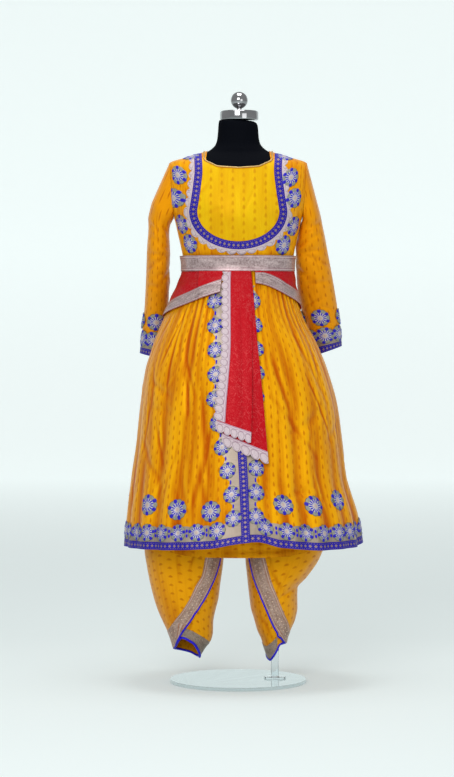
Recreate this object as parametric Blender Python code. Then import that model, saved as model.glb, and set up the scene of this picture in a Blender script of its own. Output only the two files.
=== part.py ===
"""Anarkali dance costume in silk, with sash and dhoti trousers, on a limbless dress form.

Metres, +Z up. The origin is under the middle of the base plate, the front faces -Y and
+X is the left side of the wearer. Every cloth piece is a closed wall: a grid of outer
points, its columns running from -X across the front to +X and its rows from the bottom
up, and the same grid moved in by the cloth's thickness.
"""

import math
from collections import namedtuple

import bpy
import numpy as np
from mathutils import Vector
from mathutils.bvhtree import BVHTree

CLOTH = 0.0015
TRIM = 0.0010
SEAM = 0.0003
HALF_SEAM = 0.0002
TRIM_GAP = 0.0007
NECK_GAP = 0.0009
BAND_GAP = 0.0012

NECK_POINT_X = 0.083
NECK_POINT_Z = 1.435
SHOULDER_X = 0.184
SHOULDER_Z = 1.403
ARMPIT_X = 0.1725
ARMPIT_Z = 1.254
WAIST_Z = 1.125

HEM_RIBBON = 0.020
LOBE_TOP = 0.076
LOBE_FOOT = 0.053
FRONT_RIBBON = 0.022
FRONT_BAND = 0.047
FRONT_LOBE = 0.070
FRONT_PITCH = 0.0635
FLOWER_RADIUS = 0.0255
FLOWER_RAISE = 0.0012

BELT_BOTTOM = 1.111
BELT_TOP = 1.152
SASH_BORDER = 0.032

BASE_RADIUS = 0.185
BASE_THICK = 0.010
ROD_X = 0.100
ROD_Y = 0.004
ROD_RADIUS = 0.011
FORM_BOTTOM = 0.775

Panel = namedtuple("Panel", "name grid out ring")


def material(name, colour, roughness, metallic=0.0):
    """A Principled BSDF material of one colour."""
    finish = bpy.data.materials.new(name)
    finish.use_nodes = True
    finish.diffuse_color = (*colour, 1.0)
    shader = finish.node_tree.nodes["Principled BSDF"]
    shader.inputs["Base Color"].default_value = (*colour, 1.0)
    shader.inputs["Roughness"].default_value = roughness
    shader.inputs["Metallic"].default_value = metallic
    return finish


def column(rows, name):
    """A smooth function of a table's first column, which gives its column of that name."""
    at = rows[0].index(name)
    points = sorted((row[0], row[at]) for row in rows[1:])
    xs = np.array([point[0] for point in points])
    ys = np.array([point[1] for point in points])
    step = np.diff(xs)
    slope = np.diff(ys) / step
    before, after = slope[:-1], slope[1:]
    turns = before * after <= 0
    mean = 2 * before * after / np.where(turns, 1, before + after)
    tangent = np.concatenate([slope[:1], np.where(turns, 0, mean), slope[-1:]])

    def value(x):
        x = np.clip(x, xs[0], xs[-1])
        i = np.clip(np.searchsorted(xs, x) - 1, 0, len(step) - 1)
        t = (x - xs[i]) / step[i]
        left = ys[i] + (3 * t**2 - 2 * t**3) * (ys[i + 1] - ys[i])
        return left + step[i] * t * (1 - t) * ((1 - t) * tangent[i] - t * tangent[i + 1])

    return value


def ease(x, start, end):
    """0 before start, 1 past end, and smooth between them."""
    t = np.clip((x - start) / (end - start), 0, 1)
    return t * t * (3 - 2 * t)


def outward(grid, ring=False, turn=1):
    """The unit directions that point out of a grid whose columns run counterclockwise."""
    if ring:
        along = np.roll(grid, -1, 1) - np.roll(grid, 1, 1)
    else:
        along = np.gradient(grid, axis=1)
    out = turn * np.cross(along, np.gradient(grid, axis=0))
    return out / np.linalg.norm(out, axis=2, keepdims=True)


def solid(name, points, faces, finish):
    """One closed mesh object, its faces turned out."""
    points = np.asarray(points, float)
    corners = points[np.array(faces)]
    if np.linalg.det(corners).sum() < 0:
        faces = [face[::-1] for face in faces]
    mesh = bpy.data.meshes.new(name)
    mesh.from_pydata(points.tolist(), [], faces)
    mesh.materials.append(finish)
    mesh.shade_smooth()
    mesh.set_sharp_from_angle(angle=math.radians(50))
    piece = bpy.data.objects.new(name, mesh)
    bpy.context.collection.objects.link(piece)
    return piece


def wall_faces(rows, cols, ring):
    """Triangles of a wall: its outside, its inside and its rims."""
    back = rows * cols
    span = cols if ring else cols - 1
    faces = []
    for row in range(rows - 1):
        for col in range(span):
            a = row * cols + col
            b = row * cols + (col + 1) % cols
            d, e = a + cols, b + cols
            faces += [(a, b, e), (a, e, d)]
            faces += [(back + a, back + e, back + b), (back + a, back + d, back + e)]
    for col in range(span):
        for row, flip in ((0, 1), (rows - 1, -1)):
            a = row * cols + col
            b = row * cols + (col + 1) % cols
            faces += [(a, back + a, back + b)[::flip], (a, back + b, b)[::flip]]
    if not ring:
        for row in range(rows - 1):
            for col, flip in ((0, 1), (cols - 1, -1)):
                a = row * cols + col
                d = a + cols
                faces += [(a, d, back + d)[::flip], (a, back + d, back + a)[::flip]]
    return faces


def wall(name, grid, finish, out=None, thickness=CLOTH, ring=False, raised=0.0):
    """A closed wall on a grid of outer points; raised lifts its outer points alone."""
    if out is None:
        out = outward(grid, ring)
    rows, cols = grid.shape[:2]
    outer = grid + out * np.reshape(raised, np.shape(raised) + (1,))
    inner = grid - out * thickness
    points = np.concatenate([outer.reshape(-1, 3), inner.reshape(-1, 3)])
    solid(name, points, wall_faces(rows, cols, ring), finish)
    return Panel(name, outer, out, ring)


def on_panel(panel, row, col):
    """A point of a panel and its outward direction, between corners as its triangles run."""
    rows, cols = panel.grid.shape[:2]
    r = min(int(row), rows - 2)
    c = int(col) if panel.ring else min(int(col), cols - 2)
    up, across = row - r, col - c
    found = []
    for values in (panel.grid, panel.out):
        a, b = values[r, c % cols], values[r, (c + 1) % cols]
        d, e = values[r + 1, c % cols], values[r + 1, (c + 1) % cols]
        if across >= up:
            found.append(a + across * (b - a) + up * (e - b))
        else:
            found.append(a + up * (d - a) + across * (e - d))
    return found[0], found[1] / np.linalg.norm(found[1])


SAMPLES = [(i / 4, j / 4, 1 - (i + j) / 4) for i in range(5) for j in range(5 - i)]
REACH = 0.020


def tree_of(name):
    """A search tree of one built piece."""
    mesh = bpy.data.objects[name].data
    points = [point.co for point in mesh.vertices]
    return BVHTree.FromPolygons(points, [tuple(face.vertices) for face in mesh.polygons])


def settled(grid, out, thickness, gap, below, ring=False):
    """The grid, moved out where its inner side would come closer than gap to built pieces."""
    trees = [tree_of(name) for name in below]
    rows, cols = grid.shape[:2]
    grid = grid.copy()
    for _ in range(4):
        inner = grid - out * thickness
        lift = np.zeros((rows, cols))
        for r in range(rows - 1):
            for c in range(cols if ring else cols - 1):
                a, b, d, e = (r, c), (r, (c + 1) % cols), (r + 1, c), (r + 1, (c + 1) % cols)
                for corners in ((a, b, e), (a, e, d)):
                    need = 0.0
                    for weights in SAMPLES:
                        point = sum(w * inner[at] for w, at in zip(weights, corners))
                        way = sum(w * out[at] for w, at in zip(weights, corners))
                        way = Vector(way / np.linalg.norm(way))
                        for tree in trees:
                            start = Vector(point) + way * REACH
                            away = tree.ray_cast(start, -way, REACH + gap)[3]
                            if away is not None:
                                need = max(need, REACH - away + gap)
                    for at in corners:
                        lift[at] = max(lift[at], need)
        grid += out * lift[..., None]
        if lift.max() < 0.00002:
            break
    return grid


def lay(name, panel, rows, cols, finish, gap=TRIM_GAP, thickness=TRIM, ring=False, below=()):
    """A trim that lies on a panel, at a grid of its row and column numbers."""
    rows, cols = np.broadcast_arrays(np.asarray(rows, float), np.asarray(cols, float))
    grid = np.zeros(rows.shape + (3,))
    out = np.zeros(rows.shape + (3,))
    for at in np.ndindex(rows.shape):
        point, way = on_panel(panel, rows[at], cols[at])
        grid[at] = point + way * (gap + thickness)
        out[at] = way
    grid = settled(grid, out, thickness, gap, (panel.name, *below), ring)
    return wall(name, grid, finish, out, thickness, ring)


def steps(start, end):
    """The ends of a stretch of row or column numbers and each whole number between them."""
    inside = np.arange(math.floor(start) + 1, math.ceil(end))
    return np.concatenate([[start], inside, [end]])


# Torso, from the neck down: the tunic's outside on a general figure.
TORSO = (
    ("height", "half_width", "front", "back"),
    (1.435, 0.083, 0.050, 0.060),
    (1.420, 0.1305, 0.066, 0.076),
    (1.403, 0.184, 0.082, 0.090),
    (1.385, 0.1955, 0.093, 0.098),
    (1.350, 0.2000, 0.106, 0.106),
    (1.310, 0.1985, 0.119, 0.111),
    (1.280, 0.1890, 0.126, 0.111),
    (1.254, 0.1725, 0.128, 0.108),
    (1.210, 0.1620, 0.122, 0.100),
    (1.160, 0.1510, 0.109, 0.091),
    (1.125, 0.1460, 0.100, 0.088),
    (1.100, 0.1465, 0.103, 0.091),
)
torso_half = column(TORSO, "half_width")
torso_front = column(TORSO, "front")
torso_back = column(TORSO, "back")


def torso_depth(x, z, side):
    """y of the torso's outside at x and z; side is -1 in front and 1 behind."""
    deep = torso_front(z) if side < 0 else torso_back(z)
    return side * deep * np.sqrt(np.clip(1 - (x / torso_half(z)) ** 2, 0, 1))


def armhole_x(z):
    """x of the plane in which the sleeve joins the bodice."""
    t = (z - ARMPIT_Z) / (SHOULDER_Z - ARMPIT_Z)
    return ARMPIT_X + (SHOULDER_X - ARMPIT_X) * t


def bodice_edge(z):
    """x of the bodice panels' side: side seam, armhole, then shoulder seam."""
    in_armhole = (z >= ARMPIT_Z) & (z <= SHOULDER_Z)
    return np.where(in_armhole, armhole_x(z), torso_half(z))


ARMHOLE_STEPS = 6
ARMHOLE_GAP = 0.0008
armhole_rows = [
    ARMPIT_Z + (SHOULDER_Z - ARMPIT_Z) * (1 - math.cos(math.pi * i / ARMHOLE_STEPS)) / 2
    for i in range(ARMHOLE_STEPS + 1)
]
bodice_heights = np.array([1.125, 1.155, 1.185, 1.22] + armhole_rows + [1.412, 1.424, 1.435])

# Neckline: its height where a column stands at this share of the panel's half width.
FRONT_NECK = (
    ("share", "height"),
    (0.0, 1.387),
    (0.29, 1.391),
    (0.39, 1.399),
    (0.62, 1.418),
    (0.8, 1.428),
    (1.0, 1.435),
)
BACK_NECK = (("share", "height"), (0.0, 1.413), (0.45, 1.416), (0.75, 1.425), (1.0, 1.435))

# Bodice flowers round the yoke, as seen from the front.
BODICE_FLOWERS = (
    ("x", "height"),
    (-0.164, 1.374),
    (-0.175, 1.312),
    (-0.158, 1.235),
    (-0.135, 1.186),
    (0.145, 1.364),
    (0.150, 1.310),
    (0.148, 1.235),
    (0.121, 1.182),
)


def bodice_panel(name, side, neck, columns, finish, flowers=()):
    """Front or back of the bodice, between the side seams, armholes and shoulder seams."""
    top = column(neck, "height")
    share = np.sin(np.linspace(-math.pi / 2, math.pi / 2, columns))
    rise = (bodice_heights - WAIST_Z) / (NECK_POINT_Z - WAIST_Z)
    z = WAIST_Z + rise[:, None] * (top(np.abs(share)) - WAIST_Z)[None, :]
    x = share[None, :] * bodice_edge(z)
    grid = np.stack([x, torso_depth(x, z, side), z], axis=2)
    out = outward(grid, turn=-side)
    seams = torso_half(z) - np.abs(x) < 1e-6
    out[seams, 1] = 0
    out /= np.linalg.norm(out, axis=2, keepdims=True)
    grid[..., 1] += side * HALF_SEAM
    raised = np.zeros(z.shape)
    for flower_x, flower_z in flowers:
        raised[np.hypot(x - flower_x, z - flower_z) < FLOWER_RADIUS] = FLOWER_RAISE
    if side > 0:
        grid, out, raised = grid[:, ::-1], out[:, ::-1], raised[:, ::-1]
    return wall(name, grid, finish, out, raised=raised)


def bodice():
    front = bodice_panel("bodice_front", -1, FRONT_NECK, 19, silk, BODICE_FLOWERS[1:])
    back = bodice_panel("bodice_back", 1, BACK_NECK, 11, silk)
    last = len(bodice_heights) - 1
    for name, panel in (("neck_piping_front", front), ("neck_piping_back", back)):
        cols = np.arange(panel.grid.shape[1])
        ends = cols.astype(float)
        ends[0], ends[-1] = 0.05, ends[-1] - 0.05
        lay(name, panel, np.array([[last - 0.3], [last]]), ends[None, :], gold, NECK_GAP)
    yoke(front)


# Yoke ribbon, its middle line from the shoulder seam down one side.
YOKE_SIDE = (
    ("height", "x"),
    (1.430, 0.108),
    (1.380, 0.1055),
    (1.335, 0.110),
    (1.270, 0.1195),
)
YOKE_RIBBON = 0.020
YOKE_BOTTOM = 1.1785
YOKE_CORNER = 1.270
YOKE_LACE = 0.014
LACE_SCALLOP = 0.006
YOKE_SPACE = 0.0024
YOKE_LIFT = 0.0008
YOKE_THICK = 0.0010
yoke_x = column(YOKE_SIDE, "x")


def shoulder_z(x):
    """Height of the shoulder seam at x."""
    slope = (NECK_POINT_Z - SHOULDER_Z) / (SHOULDER_X - NECK_POINT_X)
    return SHOULDER_Z + (SHOULDER_X - abs(x)) * slope - 0.0012


def yoke_route(offset, stations):
    """Points (x, z) beside the ribbon's middle line, from one shoulder to the other."""
    side = []
    for t in np.linspace(0, 1, stations):
        x = yoke_x(1.43 - 0.16 * t**1.6)
        seam = shoulder_z(x + offset)
        side.append((x + offset, seam - (seam - YOKE_CORNER) * t**1.6))
    wide = yoke_x(YOKE_CORNER) + offset
    deep = YOKE_CORNER - YOKE_BOTTOM + offset
    turn = []
    for angle in np.linspace(0, math.pi, 2 * stations + 1)[1:-1]:
        turn.append((wide * math.cos(angle), YOKE_CORNER - deep * math.sin(angle)))
    other = [(-x, z) for x, z in reversed(side)]
    return (side + turn + other)[::-1]


def bodice_trim(name, panel, lines, finish):
    """A trim on the bodice's front between lines of (x, z) points, the first line lowest."""
    top = column(FRONT_NECK, "height")
    rise = (bodice_heights - WAIST_Z) / (NECK_POINT_Z - WAIST_Z)
    x, z = np.moveaxis(np.array(lines), 2, 0)
    share = np.clip(x / bodice_edge(z), -1, 1)
    reach = (z - WAIST_Z) / (top(np.abs(share)) - WAIST_Z)
    rows = np.interp(reach, rise, np.arange(len(rise)))
    cols = (np.arcsin(share) / math.pi + 0.5) * (panel.grid.shape[1] - 1)
    lay(name, panel, rows, cols, finish, YOKE_LIFT, YOKE_THICK)


def yoke(front):
    """Lemon yoke, the ribbon round it and the scalloped lace outside the ribbon."""
    stations = 5
    half = YOKE_RIBBON / 2
    ribbon_out = yoke_route(half, stations)
    ribbon_in = yoke_route(-half, stations)
    bodice_trim("yoke_ribbon", front, [ribbon_out, yoke_route(0, stations), ribbon_in], ribbon_blue)
    inner = yoke_route(half + YOKE_SPACE, 3 * stations)
    outer = []
    for number, start in enumerate(inner):
        end = yoke_route(half + YOKE_LACE + LACE_SCALLOP * (number % 3 != 0), 3 * stations)
        outer.append(end[number])
    bodice_trim("yoke_lace", front, [outer, inner], silver)
    rows, columns = 9, 8
    top = column(FRONT_NECK, "height")
    lines = []
    for t in np.linspace(0, 1, rows):
        line = []
        for share in np.linspace(-1, 1, columns):
            low = YOKE_CORNER - (YOKE_CORNER - YOKE_BOTTOM - half - SEAM) * math.sqrt(
                max(1 - 0.9 * share**2, 0)
            )
            reach = yoke_x(1.3) - half - 0.001
            high = top(min(abs(share) * reach / SHOULDER_X, 1)) - 0.010
            z = low + (high - low) * t
            if z > YOKE_CORNER:
                limit = yoke_x(z) - half - 0.0012
            else:
                drop = (YOKE_CORNER - z) / (YOKE_CORNER - YOKE_BOTTOM - half)
                limit = (yoke_x(YOKE_CORNER) - half - 0.0012) * math.sqrt(max(1 - drop**2, 0.05))
            line.append((share * limit, z))
        lines.append(line)
    bodice_trim("yoke_panel", front, lines, lemon)


# Sleeves, from the armhole down: inner and outer edge seen from the front, and the depth.
SLEEVE_COLUMNS = ("row", "inner_x", "inner_z", "outer_x", "outer_z", "centre_y", "half_depth")
RIGHT_SLEEVE = (
    SLEEVE_COLUMNS,
    (0, 0.1725, 1.254, 0.1840, 1.403, 0.000, 0.047),
    (1, 0.1785, 1.248, 0.2090, 1.372, 0.003, 0.053),
    (2, 0.1820, 1.242, 0.2298, 1.322, 0.008, 0.057),
    (3, 0.1845, 1.236, 0.2465, 1.273, 0.014, 0.058),
    (4, 0.1855, 1.225, 0.2435, 1.257, 0.018, 0.050),
    (5, 0.1860, 1.205, 0.2425, 1.230, 0.024, 0.055),
    (6, 0.1845, 1.172, 0.2465, 1.176, 0.035, 0.055),
    (7, 0.1860, 1.086, 0.2506, 1.090, 0.065, 0.050),
    (8, 0.1900, 1.004, 0.2560, 1.010, 0.100, 0.045),
    (9, 0.1950, 0.941, 0.2627, 0.949, 0.130, 0.043),
    (10, 0.2050, 0.872, 0.2695, 0.888, 0.160, 0.041),
)
LEFT_SLEEVE = (
    SLEEVE_COLUMNS,
    (0, 0.1725, 1.254, 0.1840, 1.403, 0.000, 0.047),
    (1, 0.1765, 1.249, 0.2010, 1.355, 0.004, 0.053),
    (2, 0.1745, 1.248, 0.2130, 1.297, 0.010, 0.057),
    (3, 0.1700, 1.243, 0.2228, 1.262, 0.018, 0.057),
    (4, 0.1645, 1.225, 0.2280, 1.237, 0.024, 0.051),
    (5, 0.1610, 1.202, 0.2340, 1.210, 0.028, 0.055),
    (6, 0.1570, 1.167, 0.2417, 1.171, 0.040, 0.054),
    (7, 0.1600, 1.086, 0.2580, 1.090, 0.068, 0.050),
    (8, 0.1720, 1.014, 0.2710, 1.020, 0.100, 0.046),
    (9, 0.1900, 0.949, 0.2810, 0.957, 0.130, 0.043),
    (10, 0.2070, 0.880, 0.2857, 0.908, 0.160, 0.041),
)
CUFF_RIBBON = 0.020
CUFF_BAND = 0.048
CUFF_LOBE = 0.074
SLEEVE_SIDES = 2 * ARMHOLE_STEPS
# Distances from the cuff's edge, up the sleeve, of the sleeve's rows.
SLEEVE_ROWS = (0.0, CUFF_RIBBON, CUFF_LOBE, 0.14, 0.21, 0.275, 0.315, 0.34, 0.36, 0.40, 0.435)


def sleeve(name, side, table, finish):
    """A sleeve on one side of the body, from its cuff up to the armhole."""
    fields = {field: column(table, field) for field in SLEEVE_COLUMNS[1:]}
    fine = np.linspace(len(table) - 2, 0, 200)
    middle = np.stack(
        [
            (fields["inner_x"](fine) + fields["outer_x"](fine)) / 2,
            fields["centre_y"](fine),
            (fields["inner_z"](fine) + fields["outer_z"](fine)) / 2,
        ],
        axis=1,
    )
    length = np.concatenate([[0], np.cumsum(np.linalg.norm(np.diff(middle, axis=0), axis=1))])
    around = 2 * math.pi * np.arange(SLEEVE_SIDES) / SLEEVE_SIDES
    rings = []
    for distance in SLEEVE_ROWS:
        at = np.interp(distance, length, fine)
        value = {field: read(at) for field, read in fields.items()}
        lean, deep = np.cos(around) / 2, np.sin(around)
        x = (value["inner_x"] + value["outer_x"]) / 2
        x = x + lean * (value["outer_x"] - value["inner_x"])
        z = (value["inner_z"] + value["outer_z"]) / 2
        z = z + lean * (value["outer_z"] - value["inner_z"])
        rings.append(np.stack([x, value["centre_y"] - deep * value["half_depth"], z], axis=1))
    z = np.array(armhole_rows)[
        [ARMHOLE_STEPS - i for i in range(ARMHOLE_STEPS)] + list(range(ARMHOLE_STEPS))
    ]
    facing = np.where(np.arange(SLEEVE_SIDES) <= ARMHOLE_STEPS, -1, 1)
    y = [torso_depth(armhole_x(h), h, way) for h, way in zip(z, facing)]
    rings.append(np.stack([armhole_x(z) + ARMHOLE_GAP, y, z], axis=1))
    grid = np.array(rings)
    grid[..., 0] *= side
    if side > 0:
        grid = grid[:, ::-1]
    out = outward(grid, ring=True)
    slope = (SHOULDER_X - ARMPIT_X) / (SHOULDER_Z - ARMPIT_Z)
    plane = np.array([side, 0, -slope]) / math.hypot(1, slope)
    out[-1] -= np.outer(out[-1] @ plane, plane)
    out /= np.linalg.norm(out, axis=2, keepdims=True)
    panel = wall(name, grid, finish, out, ring=True)
    which = name.split("_")[1]
    all_round = np.arange(SLEEVE_SIDES)
    edge = np.array([[0.0], [1 - 0.015]])
    lay(f"cuff_ribbon_{which}", panel, edge, all_round[None, :], ribbon_blue, ring=True)
    lobes = 1 + (CUFF_BAND - CUFF_RIBBON) / (CUFF_LOBE - CUFF_RIBBON) * np.ones(SLEEVE_SIDES)
    lobes[np.arange(SLEEVE_SIDES) % 3 != 0] = 2 - 0.015
    rows = np.stack([np.full(SLEEVE_SIDES, 1.0), lobes])
    lay(f"cuff_band_{which}", panel, rows, all_round[None, :], tissue, ring=True)


# Skirt sections: half width on each side, depth in front and behind.
SKIRT = (
    ("height", "right_side", "left_side", "front", "back"),
    (1.125, 0.1460, 0.1460, 0.100, 0.088),
    (1.110, 0.1470, 0.1465, 0.103, 0.091),
    (1.060, 0.1660, 0.1530, 0.126, 0.116),
    (1.000, 0.1930, 0.1690, 0.152, 0.142),
    (0.910, 0.2300, 0.2150, 0.180, 0.163),
    (0.845, 0.2500, 0.2410, 0.197, 0.178),
    (0.750, 0.2640, 0.2680, 0.212, 0.196),
    (0.650, 0.2750, 0.2820, 0.225, 0.214),
    (0.560, 0.2880, 0.2930, 0.238, 0.230),
    (0.450, 0.3010, 0.3250, 0.254, 0.249),
    (0.360, 0.3080, 0.3400, 0.268, 0.264),
)
skirt_sides = {-1: column(SKIRT, "right_side"), 1: column(SKIRT, "left_side")}
skirt_front = column(SKIRT, "front")
skirt_back = column(SKIRT, "back")

# The skirt's largest folds: where a valley lies, how wide and deep it is at the hem,
# and how far above the hem it has died out.
FOLDS = (
    ("angle", "half_width", "depth", "reach"),
    (-79, 4.5, 0.013, 0.55),
    (-63, 4.0, 0.009, 0.42),
    (-47, 4.5, 0.016, 0.62),
    (-33, 3.5, 0.008, 0.36),
    (-17, 4.0, 0.011, 0.50),
    (14, 3.5, 0.008, 0.40),
    (23, 3.5, 0.009, 0.52),
    (33, 4.5, 0.020, 0.64),
    (47, 4.5, 0.013, 0.50),
    (61, 4.0, 0.008, 0.38),
    (76, 4.5, 0.014, 0.58),
    (99, 4.5, 0.012, 0.50),
    (113, 4.0, 0.016, 0.62),
    (128, 4.5, 0.010, 0.42),
    (143, 4.0, 0.018, 0.60),
    (158, 4.5, 0.011, 0.46),
    (172, 4.0, 0.015, 0.56),
    (188, 4.5, 0.012, 0.50),
    (203, 4.0, 0.017, 0.62),
    (218, 4.5, 0.010, 0.44),
    (232, 4.0, 0.015, 0.58),
    (247, 4.5, 0.012, 0.48),
    (260, 4.0, 0.009, 0.40),
)

# Gathers: how far they stand out at a height above the hem.
GATHERS = (
    ("height", "depth"),
    (0.0, 0.0),
    (0.15, 0.0),
    (0.25, 0.0010),
    (0.40, 0.0024),
    (0.52, 0.0036),
    (0.62, 0.0042),
    (0.70, 0.0026),
    (0.745, 0.0003),
)
gather_depth = column(GATHERS, "depth")

# Hem: its height above the floor all round, by angle from the front.
HEM = (
    ("angle", "height"),
    (-180, 0.368),
    (-90, 0.370),
    (-45, 0.375),
    (-15, 0.384),
    (0, 0.398),
    (8, 0.402),
    (20, 0.386),
    (45, 0.374),
    (70, 0.374),
    (90, 0.382),
    (135, 0.372),
    (180, 0.368),
)
hem_height = column(HEM, "height")

SKIRT_DROP = 0.745
SKIRT_ROWS = np.array([0, HEM_RIBBON, LOBE_TOP, 0.105, 0.150, 0.25, 0.40, 0.56, 0.69])
SKIRT_ROWS = np.append(SKIRT_ROWS, SKIRT_DROP)
FRONT_STRIP = (FRONT_LOBE, FRONT_BAND, FRONT_RIBBON, 0.0)
SIDE_COLUMNS = 23
BACK_COLUMNS = 42
OVERLAP_LIFT = 0.0050
PLAIN_FRONT = 10
LEFT_EDGE_X = -0.015
FRONT_TRIM_TOP = 0.690


def skirt_row(height):
    """The row number at a height above the hem."""
    return float(np.interp(height, SKIRT_ROWS, range(len(SKIRT_ROWS))))


def skirt_z(angle, height):
    """The real height of a point that is this high above the hem."""
    hem = hem_height((np.degrees(angle) + 180) % 360 - 180)
    return hem + height * (WAIST_Z - SEAM - hem) / SKIRT_DROP


def skirt_point(angle, z, lift=0.0):
    """A point of the skirt's smooth form, moved out level by lift."""
    sine, cosine = math.sin(angle), math.cos(angle)
    half = skirt_sides[1 if sine > 0 else -1](z)
    deep = skirt_front(z) if cosine > 0 else skirt_back(z)
    way = np.array([sine / half, -cosine / deep, 0])
    way /= np.linalg.norm(way)
    return np.array([half * sine, -deep * cosine, z]) + way * lift


def fold_depth(angle, height):
    """How far the large folds draw the skirt in."""
    drawn = 0.0
    for at, half_width, depth, reach in FOLDS[1:]:
        away = (math.degrees(angle) - at + 180) % 360 - 180
        drawn += depth * math.exp(-((away / half_width) ** 2)) * (1 - ease(height, 0.1, reach))
    return drawn


def overlap(x, z):
    """How far the right front stands out where it laps over the left front."""
    return OVERLAP_LIFT * ease(x, -0.125, -0.085) * (1 - 0.56 * ease(z, 1.085, 1.105))


def right_edge_x(z):
    """x of the right front's edge, from the waist to the hem."""
    return np.interp(z, (0.40, 0.56, 1.10), (0.030, 0.024, -0.005))


def angle_at(x, z):
    """The angle of a point of the front at x."""
    return math.asin(x / skirt_sides[1 if x > 0 else -1](z))


def skirt_panel(name, angles, finish, below=()):
    """A skirt panel; angles(z) gives its columns' angles, below names what it laps over."""
    count = len(angles(1.0))
    flower_rows = (SKIRT_ROWS > LOBE_TOP) & (SKIRT_ROWS < 0.2)
    grid = np.zeros((len(SKIRT_ROWS), count, 3))
    raised = np.zeros(grid.shape[:2])
    for row, height in enumerate(SKIRT_ROWS):
        for col in range(count):
            z = 1.125
            for _ in range(2):
                angle = angles(z)[col]
                z = skirt_z(angle, height)
            plain = abs(math.degrees(angle)) < PLAIN_FRONT
            seam = col in (0, count - 1)
            lift = -fold_depth(angle, height) * (not plain)
            if not (plain or seam):
                lift += gather_depth(height) * (1 if col % 2 else -1)
            if below:
                lift += overlap(skirt_point(angle, z)[0], z)
            grid[row, col] = skirt_point(angle, z, lift)
            raised[row, col] = FLOWER_RAISE * (flower_rows[row] and not plain and col % 4 < 2)
    out = outward(grid)
    for col in (0, -1):
        if abs(grid[0, col, 1]) < 0.01:
            out[:, col, 1] = 0
    out[-1, :, 2] = 0
    out /= np.linalg.norm(out, axis=2, keepdims=True)
    away = np.sign(grid[:, count // 2, 1]).mean()
    grid[..., 1] += away * HALF_SEAM
    raised[:, [0, -1]] = 0
    if below:
        grid = settled(grid, out, CLOTH, BAND_GAP, below)
    return wall(name, grid, finish, out, raised=raised)


def right_front_angles(z):
    """Columns of the right front, from the side seam to its front edge."""
    strip = [angle_at(right_edge_x(z) - away, z) for away in FRONT_STRIP]
    rest = np.linspace(-math.pi / 2, strip[0], SIDE_COLUMNS, endpoint=False)
    return np.concatenate([rest, strip])


def left_front_angles(z):
    """Columns of the left front, from its front edge under the overlap to the side seam."""
    strip = [angle_at(LEFT_EDGE_X + away, z) for away in reversed(FRONT_STRIP)]
    rest = np.linspace(math.pi / 2, strip[-1], SIDE_COLUMNS, endpoint=False)
    return np.concatenate([strip, rest[::-1]])


def back_angles(z):
    """Columns of the back."""
    return np.linspace(math.pi / 2, 3 * math.pi / 2, BACK_COLUMNS + 1)


def hem_trims(which, panel, first, last):
    """Ribbon and lobed band along a panel's hem, between two of its column numbers."""
    cols = steps(first, last)
    ribbon = np.array([[0.0], [skirt_row(HEM_RIBBON - SEAM)]])
    lay(f"hem_ribbon_{which}", panel, ribbon, cols[None, :], ribbon_blue)
    top = np.where(np.round(cols) % 3 == 0, skirt_row(LOBE_FOOT), skirt_row(LOBE_TOP - 0.002))
    rows = np.stack([np.full(len(cols), skirt_row(HEM_RIBBON)), top])
    lay(f"hem_band_{which}", panel, rows, cols[None, :], tissue)


def front_trims(which, panel, cols, top):
    """Ribbon and lobed band down a front edge; cols are its edge, seam, band and lobe columns."""
    high = skirt_row(top)
    edge, seam, band, lobe = cols
    way = 1 if band > edge else -1
    rows = steps(0, high)
    ribbon = np.sort([edge, seam - 0.012 * way])
    lay(f"front_ribbon_{which}", panel, rows[:, None], ribbon[None, :], ribbon_blue, BAND_GAP)
    heights = []
    spots = []
    low = HEM_RIBBON + SEAM
    for number in range(int((top - low) / FRONT_PITCH)):
        foot = low + number * FRONT_PITCH
        for share, reach in ((0.02, 0), (0.2, 1), (0.75, 1)):
            heights.append(foot + share * FRONT_PITCH)
            spots.append(reach)
    for height in SKIRT_ROWS:
        if low < height < heights[-1] and min(abs(height - h) for h in heights) > 0.004:
            heights.append(height)
            spots.append(np.interp(height, heights[:-1], spots))
    order = np.argsort(heights)
    rows = np.array([skirt_row(heights[i]) for i in order])
    outer = np.array([band + 0.92 * (lobe - band) * spots[i] for i in order])
    columns = np.stack([np.full(len(rows), seam), outer], axis=1)
    if way < 0:
        columns = columns[:, ::-1]
    lay(f"front_band_{which}", panel, rows[:, None], columns, tissue, BAND_GAP)


def skirt():
    """Three gathered panels with their ribbons and bands."""
    back = skirt_panel("skirt_back", back_angles, silk)
    left = skirt_panel("skirt_front_left", left_front_angles, silk)
    front_trims("left", left, (0, 1, 2, 3), FRONT_TRIM_TOP)
    below = ("skirt_front_left", "front_band_left", "front_ribbon_left")
    right = skirt_panel("skirt_front_right", right_front_angles, silk, below)
    last = right.grid.shape[1] - 1
    front_trims("right", right, (last, last - 1, last - 2, last - 3), FRONT_TRIM_TOP)
    hem_trims("right", right, 0.02, last - 3 - 0.02)
    hem_trims("left", left, 3.02, left.grid.shape[1] - 1.02)
    hem_trims("back", back, 0.02, BACK_COLUMNS - 0.02)


BELT_LIFT = 0.0056
BELT_START = 15.5
BELT_LAP = 7.0
BELT_SIDES = 38
BELT_CLIMB = 0.0024
BELT_FRONT_LIFT = 0.0022


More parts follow.
